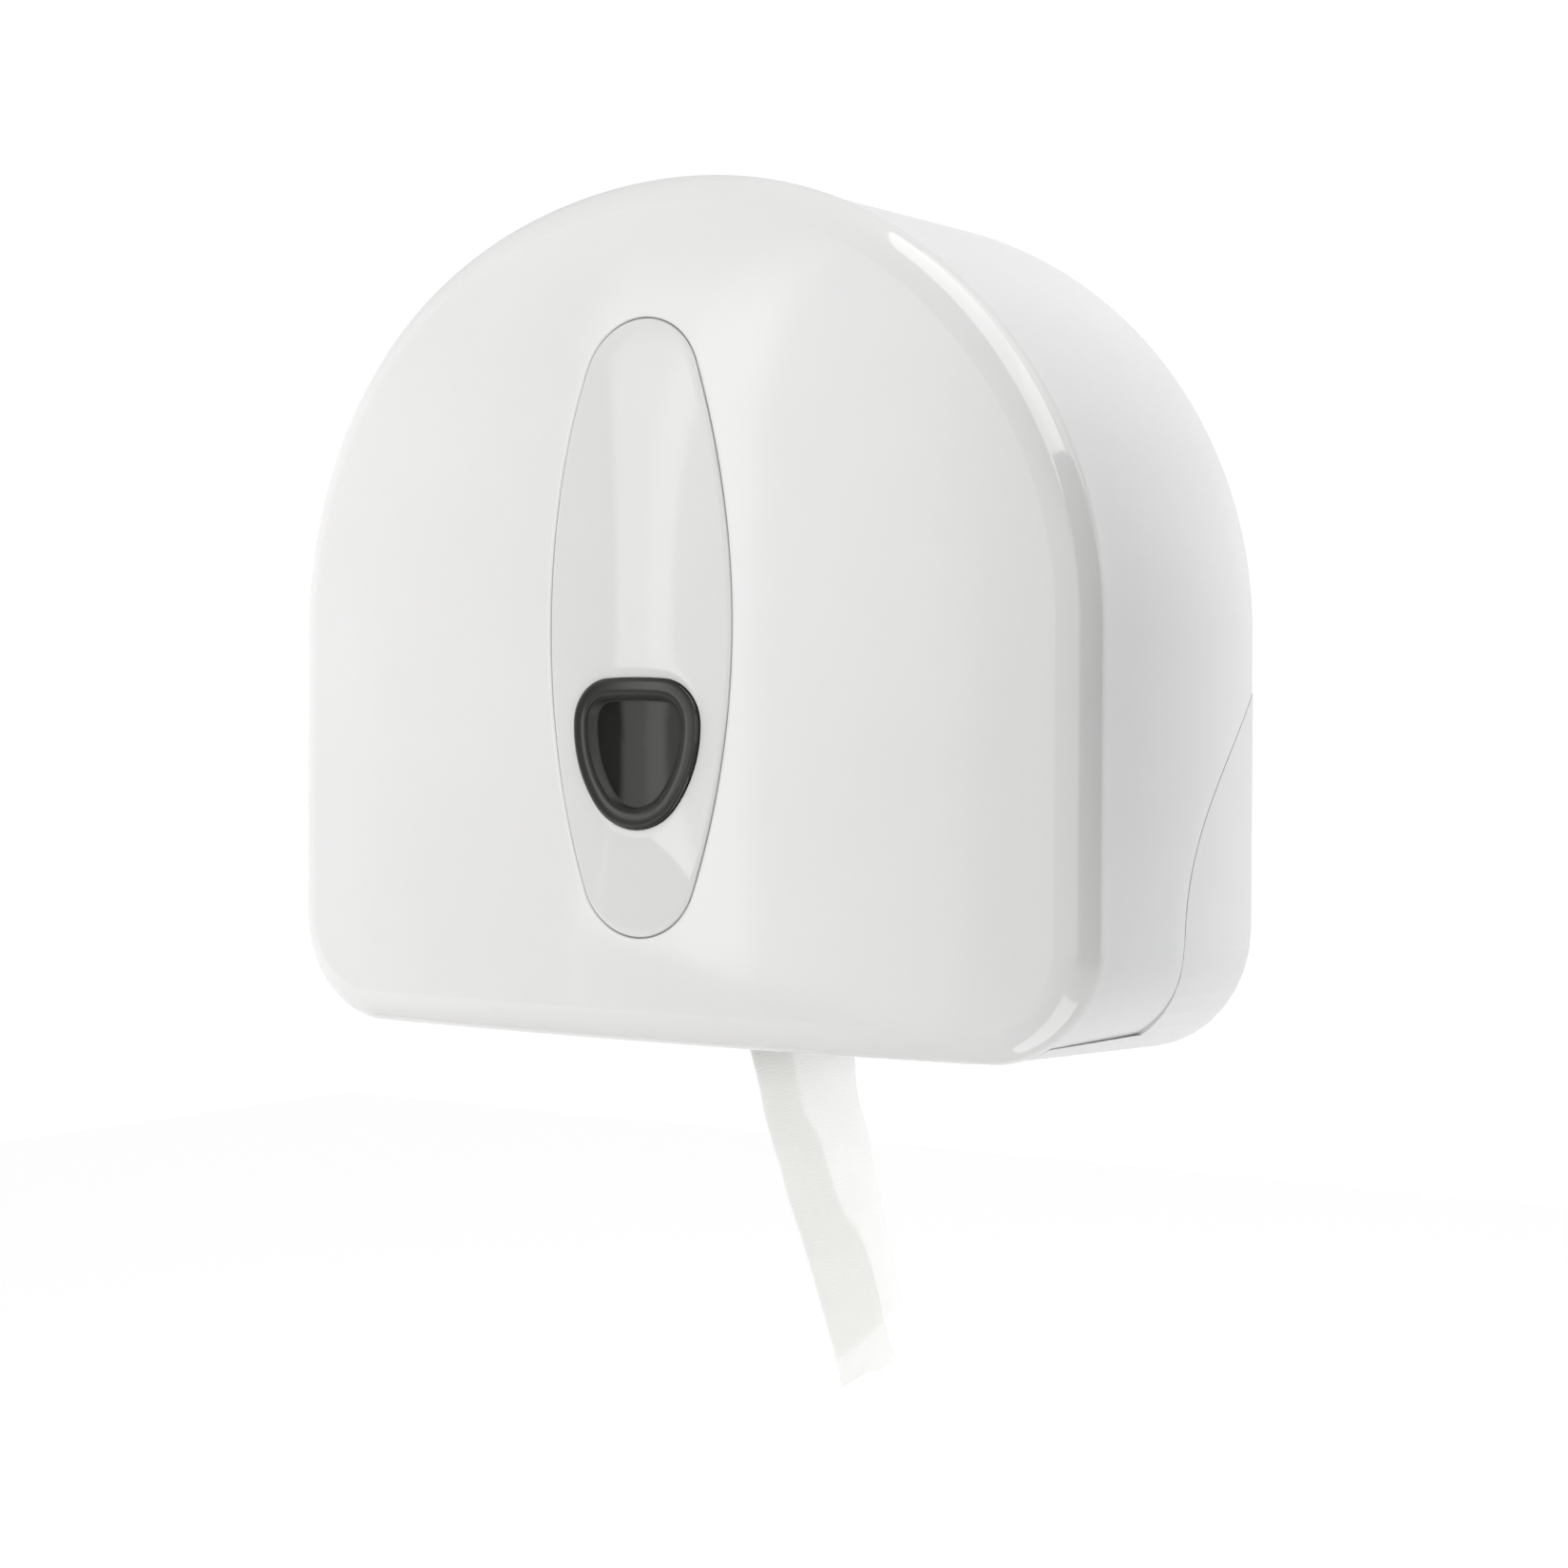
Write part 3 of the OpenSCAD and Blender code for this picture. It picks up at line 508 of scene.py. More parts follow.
WHITE = (0.80, 0.80, 0.79)
GREY_WHITE = (0.80, 0.80, 0.80)
MAT = {
    "front": plastic("front_gloss", WHITE, 0.06, 0.02, wave=0.10, sss=0.05),
    "side": plastic("side_satin", GREY_WHITE, 0.42, 0.05, grain=0.35, sss=0.05),
    "inside": plastic("inside_satin", (0.76, 0.76, 0.75), 0.5, 0.05, grain=0.2),
    "insert": plastic("insert_gloss", (0.74, 0.74, 0.73), 0.03, 0.015, wave=0.05, sss=0.05),
    "base": plastic("base_satin", GREY_WHITE, 0.42, 0.05, grain=0.35, sss=0.05),
    "smoke": plastic("smoke_gloss", (0.030, 0.031, 0.027), 0.18, 0.04, wave=0.03, spread=0.004),
    "smoke_satin": plastic("smoke_satin", (0.032, 0.033, 0.029), 0.45, 0.05, spread=0.004, shine=0.3),
    # The pane's own dark tint; the window's outer rings also wear it, as a painted shade line round the
    # lens.
    "pane": plastic("smoke_pane_and_edge_shade", (0.0185, 0.0195, 0.0165), 0.04, 0.01, wave=0.02, spread=0.003,
                    shine=0.33),
    "hub": plastic("hub_satin", (0.55, 0.56, 0.57), 0.45, 0.05, grain=0.3, spread=0.02),
    "rubber": plastic("washer_rubber", (0.03, 0.03, 0.03), 0.7, 0.08, grain=0.4, spread=0.008),
    "steel": metal("zinc_steel", (0.62, 0.62, 0.63), 0.32, (1, 0.12, 1)),
    "screw": metal("screw_steel", (0.58, 0.58, 0.58), 0.28),
    "lock": metal("nickel", (0.70, 0.69, 0.67), 0.18, strength=0.1),
    # One paper in two copies: the front ply's base colour is painted darker as shade, the back ply's
    # lighter as light through a single ply.
    "tissue": paper("tissue_sheet_shaded", (0.96, 0.96, 0.95), through=0.65),
    "tissue_back_lit": paper("tissue_back_lit", (0.98, 0.98, 0.975), through=0.65),
    "roll": paper("tissue_roll", (0.84, 0.84, 0.83), crepe=0.9, layers=True),
    "card": paper("core_board", (0.36, 0.27, 0.18), fibre=300.0, crepe=0.3, sheen=0.0),
}


# ---------------------------------------------------------------- cover

# The rounding of the rear edge, and how far behind the rim the side wall starts to step out.
EDGE_R = 0.45
STEP_BEFORE = 0.9
# The crease lies between two rings: the rim's last one, this far outside the inset RIM_R, and the
# front's first one, this far inside it.
CREASE_OUT = 0.12
CREASE_IN = 0.15
# The webs stay this far inside the lugs' own faces, so that no two faces coincide.
SHY = 0.01


def opening(grow):
    """Outline of the recess for the insert, moved outward by grow."""
    return insert_outline(INSERT_GAP + grow, COLUMN_ANGLES)


def cover_rear():
    """Depth of the cover's rear edge at each column."""
    z = outline(RIM_STEP)[:, 1]
    line_z, line_d = parting_line(PART_GAP)
    rear = np.where(z > line_z.max(), PART_GAP, np.interp(z, line_z, line_d))
    rear = np.maximum(rear, PART_GAP)
    return np.where(z < -SILL_H + LEDGE_H + LEDGE_GAP - 0.02, SKIRT_D - PART_GAP, rear)


def cover_side(rear):
    """Rings of the rear edge's rounding, the side wall and the step out to the rim."""
    rings = [(outline(RIM_STEP + EDGE_R * (1 - math.sin(a))), rear + EDGE_R * (1 - math.cos(a)))
             for a in np.radians((0, 30, 60, 90))]
    wall = outline(RIM_STEP)
    step_d = depth_on(wall) - RIM_R
    for s in np.linspace(0, 1, 9)[1:]:
        rings.append((wall, (rear + EDGE_R) * (1 - s) + (step_d - STEP_BEFORE) * s))
    # The step is a soft S: the share of its width that is left, and the depth from the rim's start.
    for share, forward in ((0.93, -0.55), (0.72, -0.3), (0.3, -0.1), (0.1, 0.05), (0.0, 0.35)):
        p = outline(RIM_STEP * share)
        rings.append((p, depth_on(p) - RIM_R + forward))
    return rings


def cover_front():
    """Rings of the rounded rim, the crease, the crowned front and the recess's rounded edge."""
    rings = []
    for a in np.linspace(math.radians(87.5), RIM_CREASE, 20):
        inset = RIM_R * (1 - math.sin(a)) / (1 - math.sin(RIM_CREASE))
        p = outline(inset - CREASE_OUT * (a == RIM_CREASE))
        rings.append(on_face(p, RIM_R * (1 - math.cos(a) / math.cos(RIM_CREASE))))
    crease = outline(RIM_R + CREASE_IN)
    rings += [on_face(p) for p in [crease, *spread(crease, opening(1.4), 18)]]
    for grow, drop in ((0.8, 0.0), (0.45, 0.08), (0.18, 0.27), (0.04, 0.55), (0.0, 1.0)):
        rings.append(on_face(opening(grow), drop))
    return rings


def cover_inside(rear):
    """Rings of the recess's floor round the window's hole, the pan behind it and the inner walls."""
    floor, back = opening(0), opening(PAN_RIM)
    hole = window_outline(-WINDOW_FRAME, COLUMN_ANGLES)
    crease = outline(RIM_R + CREASE_IN)
    rings = [on_face(p, INSERT_T) for p in [floor, *spread(floor, hole, 8)]]
    rings += [on_face(p, INSERT_T + PAN_T) for p in [hole, *spread(hole, back, 8)]]
    rings += [on_face(p, WALL_T) for p in [back, *spread(back, crease, 10)]]
    for a in np.radians(np.linspace(80, 0, 9)):
        p = outline(RIM_R - (RIM_R - INNER_INSET) * math.cos(a))
        rings.append((p, depth_on(p) - RIM_R + (RIM_R - WALL_T) * math.sin(a)))
    wall = outline(INNER_INSET)
    front_end = np.maximum(depth_on(wall) - RIM_R, rear + 1.0)
    for s in np.linspace(0, 1, 6)[1:]:
        rings.append((wall, front_end * (1 - s) + (rear + EDGE_R) * s))
    rings.append((outline(INNER_INSET - EDGE_R), rear))
    return rings


def hinge_lugs(bm):
    """The cover's round lugs on both sides of each of the base's arms."""
    for side in (-1, 1):
        for lug in (INNER_LUG, OUTER_LUG):
            mid = (lug[0] + lug[1]) / 2 * side
            add_cylinder(bm, (mid, HINGE_D, HINGE_Z), "x", KNUCKLE_R, lug[1] - lug[0])


def lug_webs(bm):
    """The blocks that join the lugs to the cover's front."""
    for side in (-1, 1):
        for lug in (INNER_LUG, OUTER_LUG):
            x = sorted((side * lug[0] + side * SHY, side * lug[1] - side * SHY))
            add_block(bm, x, (HINGE_D, HINGE_D + WEB_D), (HINGE_Z - 0.5, HINGE_Z + KNUCKLE_R - 2 * SHY))


def lock_pad(bm):
    add_cylinder(bm, (0, LOCK_D, LOCK_PAD_Z + LOCK_PAD_T / 2), "z", LOCK_PAD_R, LOCK_PAD_T, 96)


def arm_slots_and_lock_hole(bm):
    """The slots let the base's arms through the cover's floor, the hole lets the lock through."""
    for side in (-1, 1):
        x = sorted((side * (ARM[0] - ARM_GAP), side * (ARM[1] + ARM_GAP)))
        add_block(bm, x, (SKIRT_D - 4, HINGE_D + 3), (-SILL_H - 5, HINGE_Z))
    add_cylinder(bm, (0, LOCK_D, LOCK_PAD_Z), "z", LOCK_TUBE_R, 30, 96)


def arm_knuckle_rooms(bm):
    for side in (-1, 1):
        add_cylinder(bm, ((ARM[0] + ARM[1]) / 2 * side, HINGE_D, HINGE_Z), "x",
                     KNUCKLE_R + KNUCKLE_GAP, ARM[1] - ARM[0] + 2 * ARM_GAP)


def pin_bores(bm):
    """The bores through both lugs of each hinge, cut past their ends."""
    for side in (-1, 1):
        mid = side * (INNER_LUG[0] + OUTER_LUG[1]) / 2
        add_cylinder(bm, (mid, HINGE_D, HINGE_Z), "x", PIN_R, OUTER_LUG[1] - INNER_LUG[0] + 2.5)


def lock_flange_seat(bm):
    add_cylinder(bm, (0, LOCK_D, LOCK_SEAT_Z + 5), "z", LOCK_FLANGE_R + LOCK_FLANGE_GAP, 10, 96)


def build_cover():
    rear = cover_rear()
    side, front, inside = cover_side(rear), cover_front(), cover_inside(rear)
    rings = side + front + inside
    obj = mesh_object("cover_shell", net(rings), ring_faces(len(rings), len(rear)),
                      [MAT["side"], MAT["front"], MAT["inside"]])
    # The gloss starts on the step's outer face, three rings before the rim's rounding.
    paint_bands(obj, np.repeat((0, 1, 2), (len(side) - 3, len(front) + 3, len(inside))), len(rear))
    # The rooms for the arms' knuckles overlap the arms' slots, so they are cut by themselves:
    # overlapping tools in one cut would leave the stretch that they share.
    for operation, build in (("UNION", hinge_lugs), ("UNION", lug_webs), ("UNION", lock_pad),
                             ("DIFFERENCE", arm_slots_and_lock_hole),
                             ("DIFFERENCE", arm_knuckle_rooms), ("DIFFERENCE", pin_bores),
                             ("DIFFERENCE", lock_flange_seat)):
        boolean(obj, operation, build)
    finish_piece(obj, "cover", "front_cover", angle=32)


# ---------------------------------------------------------------- insert and window

def swell(points):
    """How far the insert's face stands proud of the front at the points."""
    x, z = points[:, 0], points[:, 1]
    return INSERT_BULGE * (1 - (x / INSERT_W) ** 2) * (1 - ((z - INSERT_Z) / INSERT_H) ** 2)


def on_insert(points, drop=0.0):
    """A ring that lies drop below the insert's face."""
    return points, depth_on(points) + np.maximum(0.0, swell(points)) - drop


def insert_hooks(bm):
    for x, z in HOOK_PLACES:
        d = face_depth(x, z) - INSERT_T
        add_block(bm, (x - HOOK_HALF_W, x + HOOK_HALF_W), (d - PAN_T - HOOK_REACH, d + HOOK_ROOT),
                  (z - 1, z + 1))


def hook_tips(bm):
    """The hooks' barbs, which catch behind the pan."""
    for x, z in HOOK_PLACES:
        d = face_depth(x, z) - INSERT_T
        add_block(bm, (x - HOOK_HALF_W, x + HOOK_HALF_W),
                  (d - PAN_T - HOOK_REACH, d - PAN_T - HOOK_TIP_GAP), (z - 0.5, z + HOOK_TIP_TOP))


def build_insert():
    angles = np.linspace(-math.pi, math.pi, 289)[:-1]

    def outer(grow):
        return insert_outline(grow, angles)

    def inner(grow):
        return window_outline(WINDOW_GAP + grow, angles)

    rings = [on_insert(outer(grow), drop)
             for grow, drop in ((0, 0.95), (-0.06, 0.5), (-0.22, 0.22), (-0.5, 0.06), (-0.9, 0.0))]
    rings += [on_insert(p) for p in spread(outer(-0.9), inner(0.5), 16)]
    rings += [on_insert(inner(grow), drop) for grow, drop in ((0.2, 0.05), (0.05, 0.2), (0.0, 0.5))]
    rings += [on_face(p, INSERT_T - 0.05) for p in [inner(0), *spread(inner(0), outer(0), 8)]]
    obj = mesh_object("insert_panel", net(rings), ring_faces(len(rings), len(angles)), [MAT["insert"]])
    boolean(obj, "UNION", insert_hooks)
    boolean(obj, "UNION", hook_tips)
    finish_piece(obj, "cover", "cover_insert", angle=32)


SMOKE, PANE_AND_EDGE_SHADE, SATIN = range(3)
# The window's front from the outside in: how far outside its outline each ring lies, how far below
# the frame's top, and the material from there to the next ring. The outermost rings wear the pane's
# near-black material as a painted shade line, standing in for the shadowed gap round the lens.
WINDOW_PROFILE = (
    (0, 1.5, PANE_AND_EDGE_SHADE), (0, 0.9, PANE_AND_EDGE_SHADE), (-0.08, 0.75, PANE_AND_EDGE_SHADE),
    (-0.7, 0.25, SMOKE), (-0.9, 0.14, SMOKE), (-1.3, 0.05, SMOKE), (-1.7, 0.0, SMOKE),
    (-3.6, 0.0, SMOKE), (-5.5, 0.0, SATIN), (-5.9, 0.12, SATIN), (-6.25, 0.3, SATIN),
    (-6.4, 0.75, SATIN), (-6.7, 0.8, SATIN), (-6.9, 0.55, SATIN), (-7.2, 0.45, SATIN))
# The pane's edge: how far outside the outline, how far above the pane, and the material.
PANE_EDGE = ((-7.85, 0.15, SATIN), (-8.1, 0.0, PANE_AND_EDGE_SHADE), (-8.4, 0.0, PANE_AND_EDGE_SHADE))


def build_window():
    angles = np.linspace(-math.pi, math.pi, 193)[:-1]
    centre = np.array([[0.0, WINDOW_Z]])

    def shape(grow):
        return window_outline(grow, angles)

    def top(points):
        return depth_on(points) + swell(points) + WINDOW_PROUD

    def pane(points):
        """Depth of the pane, which curves backward to both sides."""
        return top(centre)[0] - PANE_DROP - points[:, 0] ** 2 / (2 * PANE_R)

    foot = shape(-0.3)
    rings = [on_face(foot * s + centre * (1 - s), INSERT_T) for s in (0.33, 0.66, 1)]
    rings.append(on_face(shape(0), INSERT_T - 0.3))
    rings += [(shape(grow), top(shape(grow)) - drop) for grow, drop, _ in WINDOW_PROFILE]
    for grow, rise, _ in PANE_EDGE:
        edge = shape(grow) * [PANE_NARROW, 1]
        rings.append((edge, pane(edge) + rise))
    inward = [centre + (edge - centre) * s for s in (0.75, 0.5, 0.25)]
    rings += [(p, pane(p)) for p in inward]
    # The pane slot on the lens's side wall and outer rings is painted shade for the shadowed gap round the
    # lens.
    slots = [SMOKE] * 3 + [PANE_AND_EDGE_SHADE] + [slot for _, _, slot in WINDOW_PROFILE + PANE_EDGE] + [PANE_AND_EDGE_SHADE] * 2

    # The last ring closes on a point in the pane's middle, the first on one at the back.
    n, last = len(angles), (len(rings) - 1) * len(angles)
    verts = np.concatenate([net(rings), net([(centre, pane(centre)), on_face(centre, INSERT_T)])])
    i = np.arange(n)
    j = (i + 1) % n
    front_tip = np.c_[last + i, last + j, np.full(n, last + n)]
    back_tip = np.c_[j, i, np.full(n, last + n + 1)]
    faces = [*ring_faces(len(rings), n, closed=False), *front_tip, *back_tip]
    obj = mesh_object("window_lens", verts, faces, [MAT["smoke"], MAT["pane"], MAT["smoke_satin"]])
    paint_bands(obj, [*slots, PANE_AND_EDGE_SHADE, SMOKE], n)
    finish_piece(obj, "cover", "level_window", angle=40)


# ---------------------------------------------------------------- roll and core

def lathe(name, profile, material, segments):
    """A ring turned about the spindle's axis; profile is a closed list of (radius, depth)."""
    a = np.linspace(0, 2 * math.pi, segments, endpoint=False)
    verts = [(r * math.cos(t), d, r * math.sin(t)) for r, d in profile for t in a]
    return mesh_object(name, verts, ring_faces(len(profile), segments), [material])


def build_roll():
    """The wound paper: its ends are faintly uneven from layer to layer."""
    rng = np.random.default_rng(7)
    inner, soft = CORE_R + CORE_T + 0.05, 1.6
    radii = np.linspace(inner + 0.6, ROLL_R - soft, 56)

    def end(depth, inward):
        return [(r, depth + inward * b) for r, b in zip(radii, rng.uniform(0.0, 0.35, len(radii)))]

    def corner(depth, inward):
        return [(ROLL_R - soft + soft * math.sin(a), depth + inward * (soft * (1 - math.cos(a))))
                for a in np.radians((20, 45, 70, 90))]

    profile = [(inner, ROLL_BACK + 0.5), (inner, ROLL_FRONT - 0.5)]
    profile += end(ROLL_FRONT, -1) + corner(ROLL_FRONT, -1)
    profile += [(ROLL_R - 0.15, ROLL_FRONT * s + ROLL_BACK * (1 - s)) for s in (0.6, 0.3)]
    profile += corner(ROLL_BACK, 1)[::-1] + end(ROLL_BACK, 1)[::-1]
    roll = lathe("wound_paper", profile, MAT["roll"], 256)
    finish_piece(roll, "roll", "paper_roll", angle=60)


def build_core():
    r0, r1, e = CORE_R, CORE_R + CORE_T, 0.25
    d0, d1 = ROLL_BACK, ROLL_FRONT
    profile = [(r0, d0 + e), (r0, d1 - e), (r0 + e, d1), (r1 - e, d1),
               (r1, d1 - e), (r1, d0 + e), (r1 - e, d0), (r0 + e, d0)]
    core = lathe("board_core", profile, MAT["card"], 192)
    finish_piece(core, "roll", "core_tube", angle=40)


# ---------------------------------------------------------------- the paper's end

TAIL_MID = (ROLL_BACK + ROLL_FRONT) / 2
TAIL_HALF_W = (ROLL_FRONT - ROLL_BACK) / 2
# The sheet's middle on its way down from the roll: [x, z, depth, turn about the vertical in degrees].
TAIL_ROUTE = np.array([
    (-36.05, -125.73, TAIL_MID, 0), (-15, -131.5, TAIL_MID, -1), (2, -135.5, TAIL_MID, -3),
    (12.5, -140.5, TAIL_MID, -5), (17, -147, TAIL_MID, -6.5), (18.5, -155, TAIL_MID, -7.5),
    (20, -167, TAIL_MID - 0.5, -9.5), (22, -182, TAIL_MID - 1.5, -10.7),
    (26.5, -198, TAIL_MID - 3, -11), (29.5, -212, TAIL_MID - 4.5, -12),
    (34, -228, TAIL_MID - 6, -13.3), (38, -244, TAIL_MID - 7, -14.6),
    (41.5, -260, TAIL_MID - 8.5, -15.4), (43.5, -272, TAIL_MID - 9.5, -16.5),
    (44.5, -284, TAIL_MID - 10, -17.5)])
# The torn edge of the front ply: heights, and how far the ply reaches across there, from -1 at
# its front edge to 1 at the wall.
TEAR_Z = (-300, -284, -274, -265, -245, -236, -229, -225, -213, -190, -184, -160, -120)
TEAR_W = (0.8, 0.64, 0.5, 0.41, 0.38, 0.3, 0.24, 0.04, -0.02, -0.09, -0.24, -0.28, -0.32)
# The front ply's lower end: places across, and how far above the route's end it is torn off.
END_W = (-1, -0.53, -0.18, 0.05, 0.22, 0.38, 0.52, 0.64)
END_CUT = (4.8, 3.7, 3.2, 1.4, -1.0, 0.6, -0.4, 5.0)
BACK_END_Z = -268.5
HALF_PLY_T = 0.06
# The route's last stops, over which the ply takes on the shape of its torn end.
END_STOPS = 15


def smooth_route(points, count):
    """Even stops on a Catmull-Rom curve through the route's points, and the curve's length."""
    p = np.vstack([2 * points[0] - points[1], points, 2 * points[-1] - points[-2]])
    out = []
    for i in range(1, len(p) - 2):
        for t in np.linspace(0, 1, 24, endpoint=False):
            out.append(0.5 * ((2 * p[i]) + (p[i + 1] - p[i - 1]) * t
                              + (2 * p[i - 1] - 5 * p[i] + 4 * p[i + 1] - p[i + 2]) * t * t
                              + (-p[i - 1] + 3 * p[i] - 3 * p[i + 1] + p[i + 2]) * t ** 3))
    out.append(points[-1])
    out = np.array(out)
    s = np.r_[0, np.cumsum(np.linalg.norm(np.diff(out[:, :2], axis=0), axis=1))]
    want = np.linspace(0, s[-1], count)
    return np.c_[[np.interp(want, s, out[:, k]) for k in range(out.shape[1])]].T, s[-1]


TAIL_STOPS, TAIL_LENGTH = smooth_route(TAIL_ROUTE, 400)


def running_mean(values, width, trim):
    return np.convolve(values, np.ones(width) / width, "same")[trim:-trim]


def sheet_object(name, top, bottom, material):
    """A thin closed sheet from two nets of rows."""
    m, n = len(top), len(top[0])
    other = m * n
    faces = []
    for k in range(m - 1):
        for i in range(n - 1):
            a = k * n + i
            faces.append((a, a + 1, a + n + 1, a + n))
            faces.append((other + a, other + a + n, other + a + n + 1, other + a + 1))
    for k in range(m - 1):
        a, b = k * n, k * n + n - 1
        faces.append((a, a + n, other + a + n, other + a))
        faces.append((b, other + b, other + b + n, b + n))
    for i in range(n - 1):
        a, b = i, (m - 1) * n + i
        faces.append((a, other + a, other + a + 1, a + 1))
        faces.append((b, b + 1, other + b + 1, other + b))
    return mesh_object(name, np.concatenate(top + bottom), faces, [material])


def build_ply(name, stops, reach, lift, cut, seed, material):
    """One ply along the stops: reach is how far across it goes at each, cut its torn end's rise."""
    rng = np.random.default_rng(seed)
    cols = np.linspace(-1, 1, 57)
    tang = np.gradient(stops[:, :2], axis=0)
    tang /= np.linalg.norm(tang, axis=1)[:, None]
    ragged = running_mean(rng.normal(0, 1, len(stops) + 8), 3, 4)
    fray = running_mean(rng.normal(0, 1, len(cols) + 4), 2, 2)
    top, bottom, area = [], [], 0.0
    for k, (x, z, mid, turn) in enumerate(stops):
        far = reach[k] + 0.012 * ragged[k] * (reach[k] < 1)
        w = -1 + (far + 1) * (cols + 1) / 2
        near_end = max(0.0, (k - len(stops) + END_STOPS + 1) / END_STOPS) ** 1.4
        down = max(0.0, (-z - 165) / 120)
        hang = down * (0.4 * np.sin(2.6 * w + z / 21) + 0.2 * np.sin(6.1 * w - z / 13))
        rise = near_end * (cut(w) + 0.35 * fray)
        a = math.radians(turn)
        for rows, side in ((top, 1), (bottom, -1)):
            off = lift + hang + side * HALF_PLY_T
            rows.append(np.c_[x + TAIL_HALF_W * w * math.sin(a) - tang[k, 1] * off,
                              mid - TAIL_HALF_W * w * math.cos(a),
                              z + tang[k, 0] * off + rise])
        area += TAIL_HALF_W * (w[-1] - w[0]) * TAIL_LENGTH / len(TAIL_STOPS)
    obj = sheet_object(name, top, bottom, material)
    finish_piece(obj, "base", "paper_tail", angle=75)


def build_tail():
    heights = TAIL_STOPS[:, 1]
    back_stops = TAIL_STOPS[heights > BACK_END_Z]
    # The back ply's lighter material and the front ply's darker one are painted light and shade on one
    # paper.
    build_ply("back_ply", back_stops, np.ones(len(back_stops)), -0.2,
              lambda w: 1.4 * np.sin(3 * w), 5, MAT["tissue_back_lit"])
    build_ply("front_ply", TAIL_STOPS, np.interp(heights, TEAR_Z, TEAR_W), 0.25,
              lambda w: np.interp(w, END_W, END_CUT), 3, MAT["tissue"])


# ---------------------------------------------------------------- hardware

# The CAD nodes that are shown as they are, with rounded edges: the node, the piece's name, its
# material, the width of its bevels and its body.
HARDWARE = (
    ("tear_strip_left", "tear_blade_left", "steel", 0.15, "base"),
    ("tear_strip_right", "tear_blade_right", "steel", 0.15, "base"),
    ("tear_strip_screws", "blade_screws", "screw", 0.2, "base"),
    ("hinge_pin_left", "pin_left", "steel", 0.3, "base"),
    ("hinge_pin_right", "pin_right", "steel", 0.3, "base"),
    ("spindle_plate", "spindle_flange", "base", 0.5, "base"),
    ("spindle_plate_screws", "flange_screws", "screw", 0.3, "base"),
    ("spindle_post", "axle_post", "steel", 0.5, "base"),
    ("spindle_washer", "axle_washer", "rubber", 0.2, "base"),
    ("core_hub", "turning_hub", "hub", 0.3, "roll"),
    ("hub_cap", "axle_cap", "hub", 0.6, "base"),
    ("hub_cap_screw", "cap_screw", "screw", 0.4, "base"),
    ("catch_plate", "catch_bracket", "steel", 0.3, "base"),
    ("catch_screws", "bracket_screws", "screw", 0.3, "base"),
    ("lock_housing", "lock_body", "lock", 0.4, "cover"),
    ("lock_nut", "lock_ring_nut", "lock", 0.3, "cover"),
    ("lock_barrel", "lock_plug", "lock", 0.3, "lock"),
    ("lock_cam", "lock_lever", "steel", 0.3, "lock"),
    ("cam_screw", "lever_screw", "screw", 0.2, "lock"))


def set_material(mesh, material):
    mesh.materials.clear()
    mesh.materials.append(material)


def dress(cad_node, name, material, bevel, body):
    """A copy of a CAD node with its edges rounded, in place of the node."""
    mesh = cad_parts[cad_node].data.copy()
    mesh.name = name
    obj = linked_object(name, mesh)
    set_material(mesh, MAT[material])
    bm = bmesh.new()
    bm.from_mesh(mesh)
    bmesh.ops.remove_doubles(bm, verts=bm.verts, dist=2e-6)
    bmesh.ops.dissolve_limit(bm, angle_limit=math.radians(0.5), verts=bm.verts, edges=bm.edges)
    bm.to_mesh(mesh)
    bm.free()
    mod = obj.modifiers.new("bevel", "BEVEL")
    mod.width, mod.segments, mod.limit_method = bevel * MM, 2, "ANGLE"
    mod.angle_limit = math.radians(30)
    mod.use_clamp_overlap = True
    bake(obj)
    finish_piece(obj, body, cad_node, angle=35)


def build_hardware():
    for row in HARDWARE:
        dress(*row)


def dress_base():
    """The base shell stays the CAD's own node, with its material and smooth shading."""
    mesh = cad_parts["base_shell"].data
    set_material(mesh, MAT["base"])
    shade(mesh, 28)


# ---------------------------------------------------------------- stage

# The photograph's viewpoint, fitted to the case's outline: angles in degrees, places in metres.
CAMERA_AZIMUTH = 33.94
CAMERA_ELEVATION = 1.215
CAMERA_ROLL = 0.272
CAMERA_TARGET = (-0.03032, 0.0, -0.05888)
CAMERA_DISTANCE = 1.27058
CAMERA_LENS = 71.44
CAMERA_SENSOR = 36.0
EXPOSURE = 0.145

# Brightness of the studio by compass direction, in degrees from straight ahead (-Y) towards +X:
# the left side falls off into a dark gap, then comes a softbox with a bright strip in it, a dimmer
# stretch straight ahead, the bright right side and a white sweep behind.
SKY = ((-180, 1.0), (-120, 0.9), (-95, 0.8), (-62, 0.55), (-50, 0.12), (-40.3, 0.08), (-40.0, 1.5),
       (-34.4, 1.8), (-33.6, 2.5), (-30.2, 2.5), (-29.6, 1.25), (-21, 1.15), (-18, 0.5), (10, 0.65),
       (25, 1.25), (45, 1.7), (60, 1.9), (80, 1.8), (100, 1.7), (120, 1.7), (180, 1.2))
SKY_MAX = 2.5
# The brightness that the walls pass into upward and downward, and the band where they do, as the
# sine of the angle above the horizon.
SKY_TOP = 0.6
SKY_TOP_BAND = (0.2, 0.42)
SKY_LOW = 0.75
SKY_LOW_BAND = (-0.2, -0.4)
# The softbox's lower edge: its height in the direction BOX_AT, as the sine of its elevation, and how
# that changes per degree towards +X. The box reaches from BOX_MID - BOX_HALF to BOX_MID + BOX_HALF
# degrees past BOX_AT. Below the edge only the share BELOW_BOX of its light is left.
BOX_AT = -39.0
BOX_EDGE = (-0.0685, -0.0019)
BOX_MID = 10.0
BOX_HALF = 11.0
BELOW_BOX = 0.05

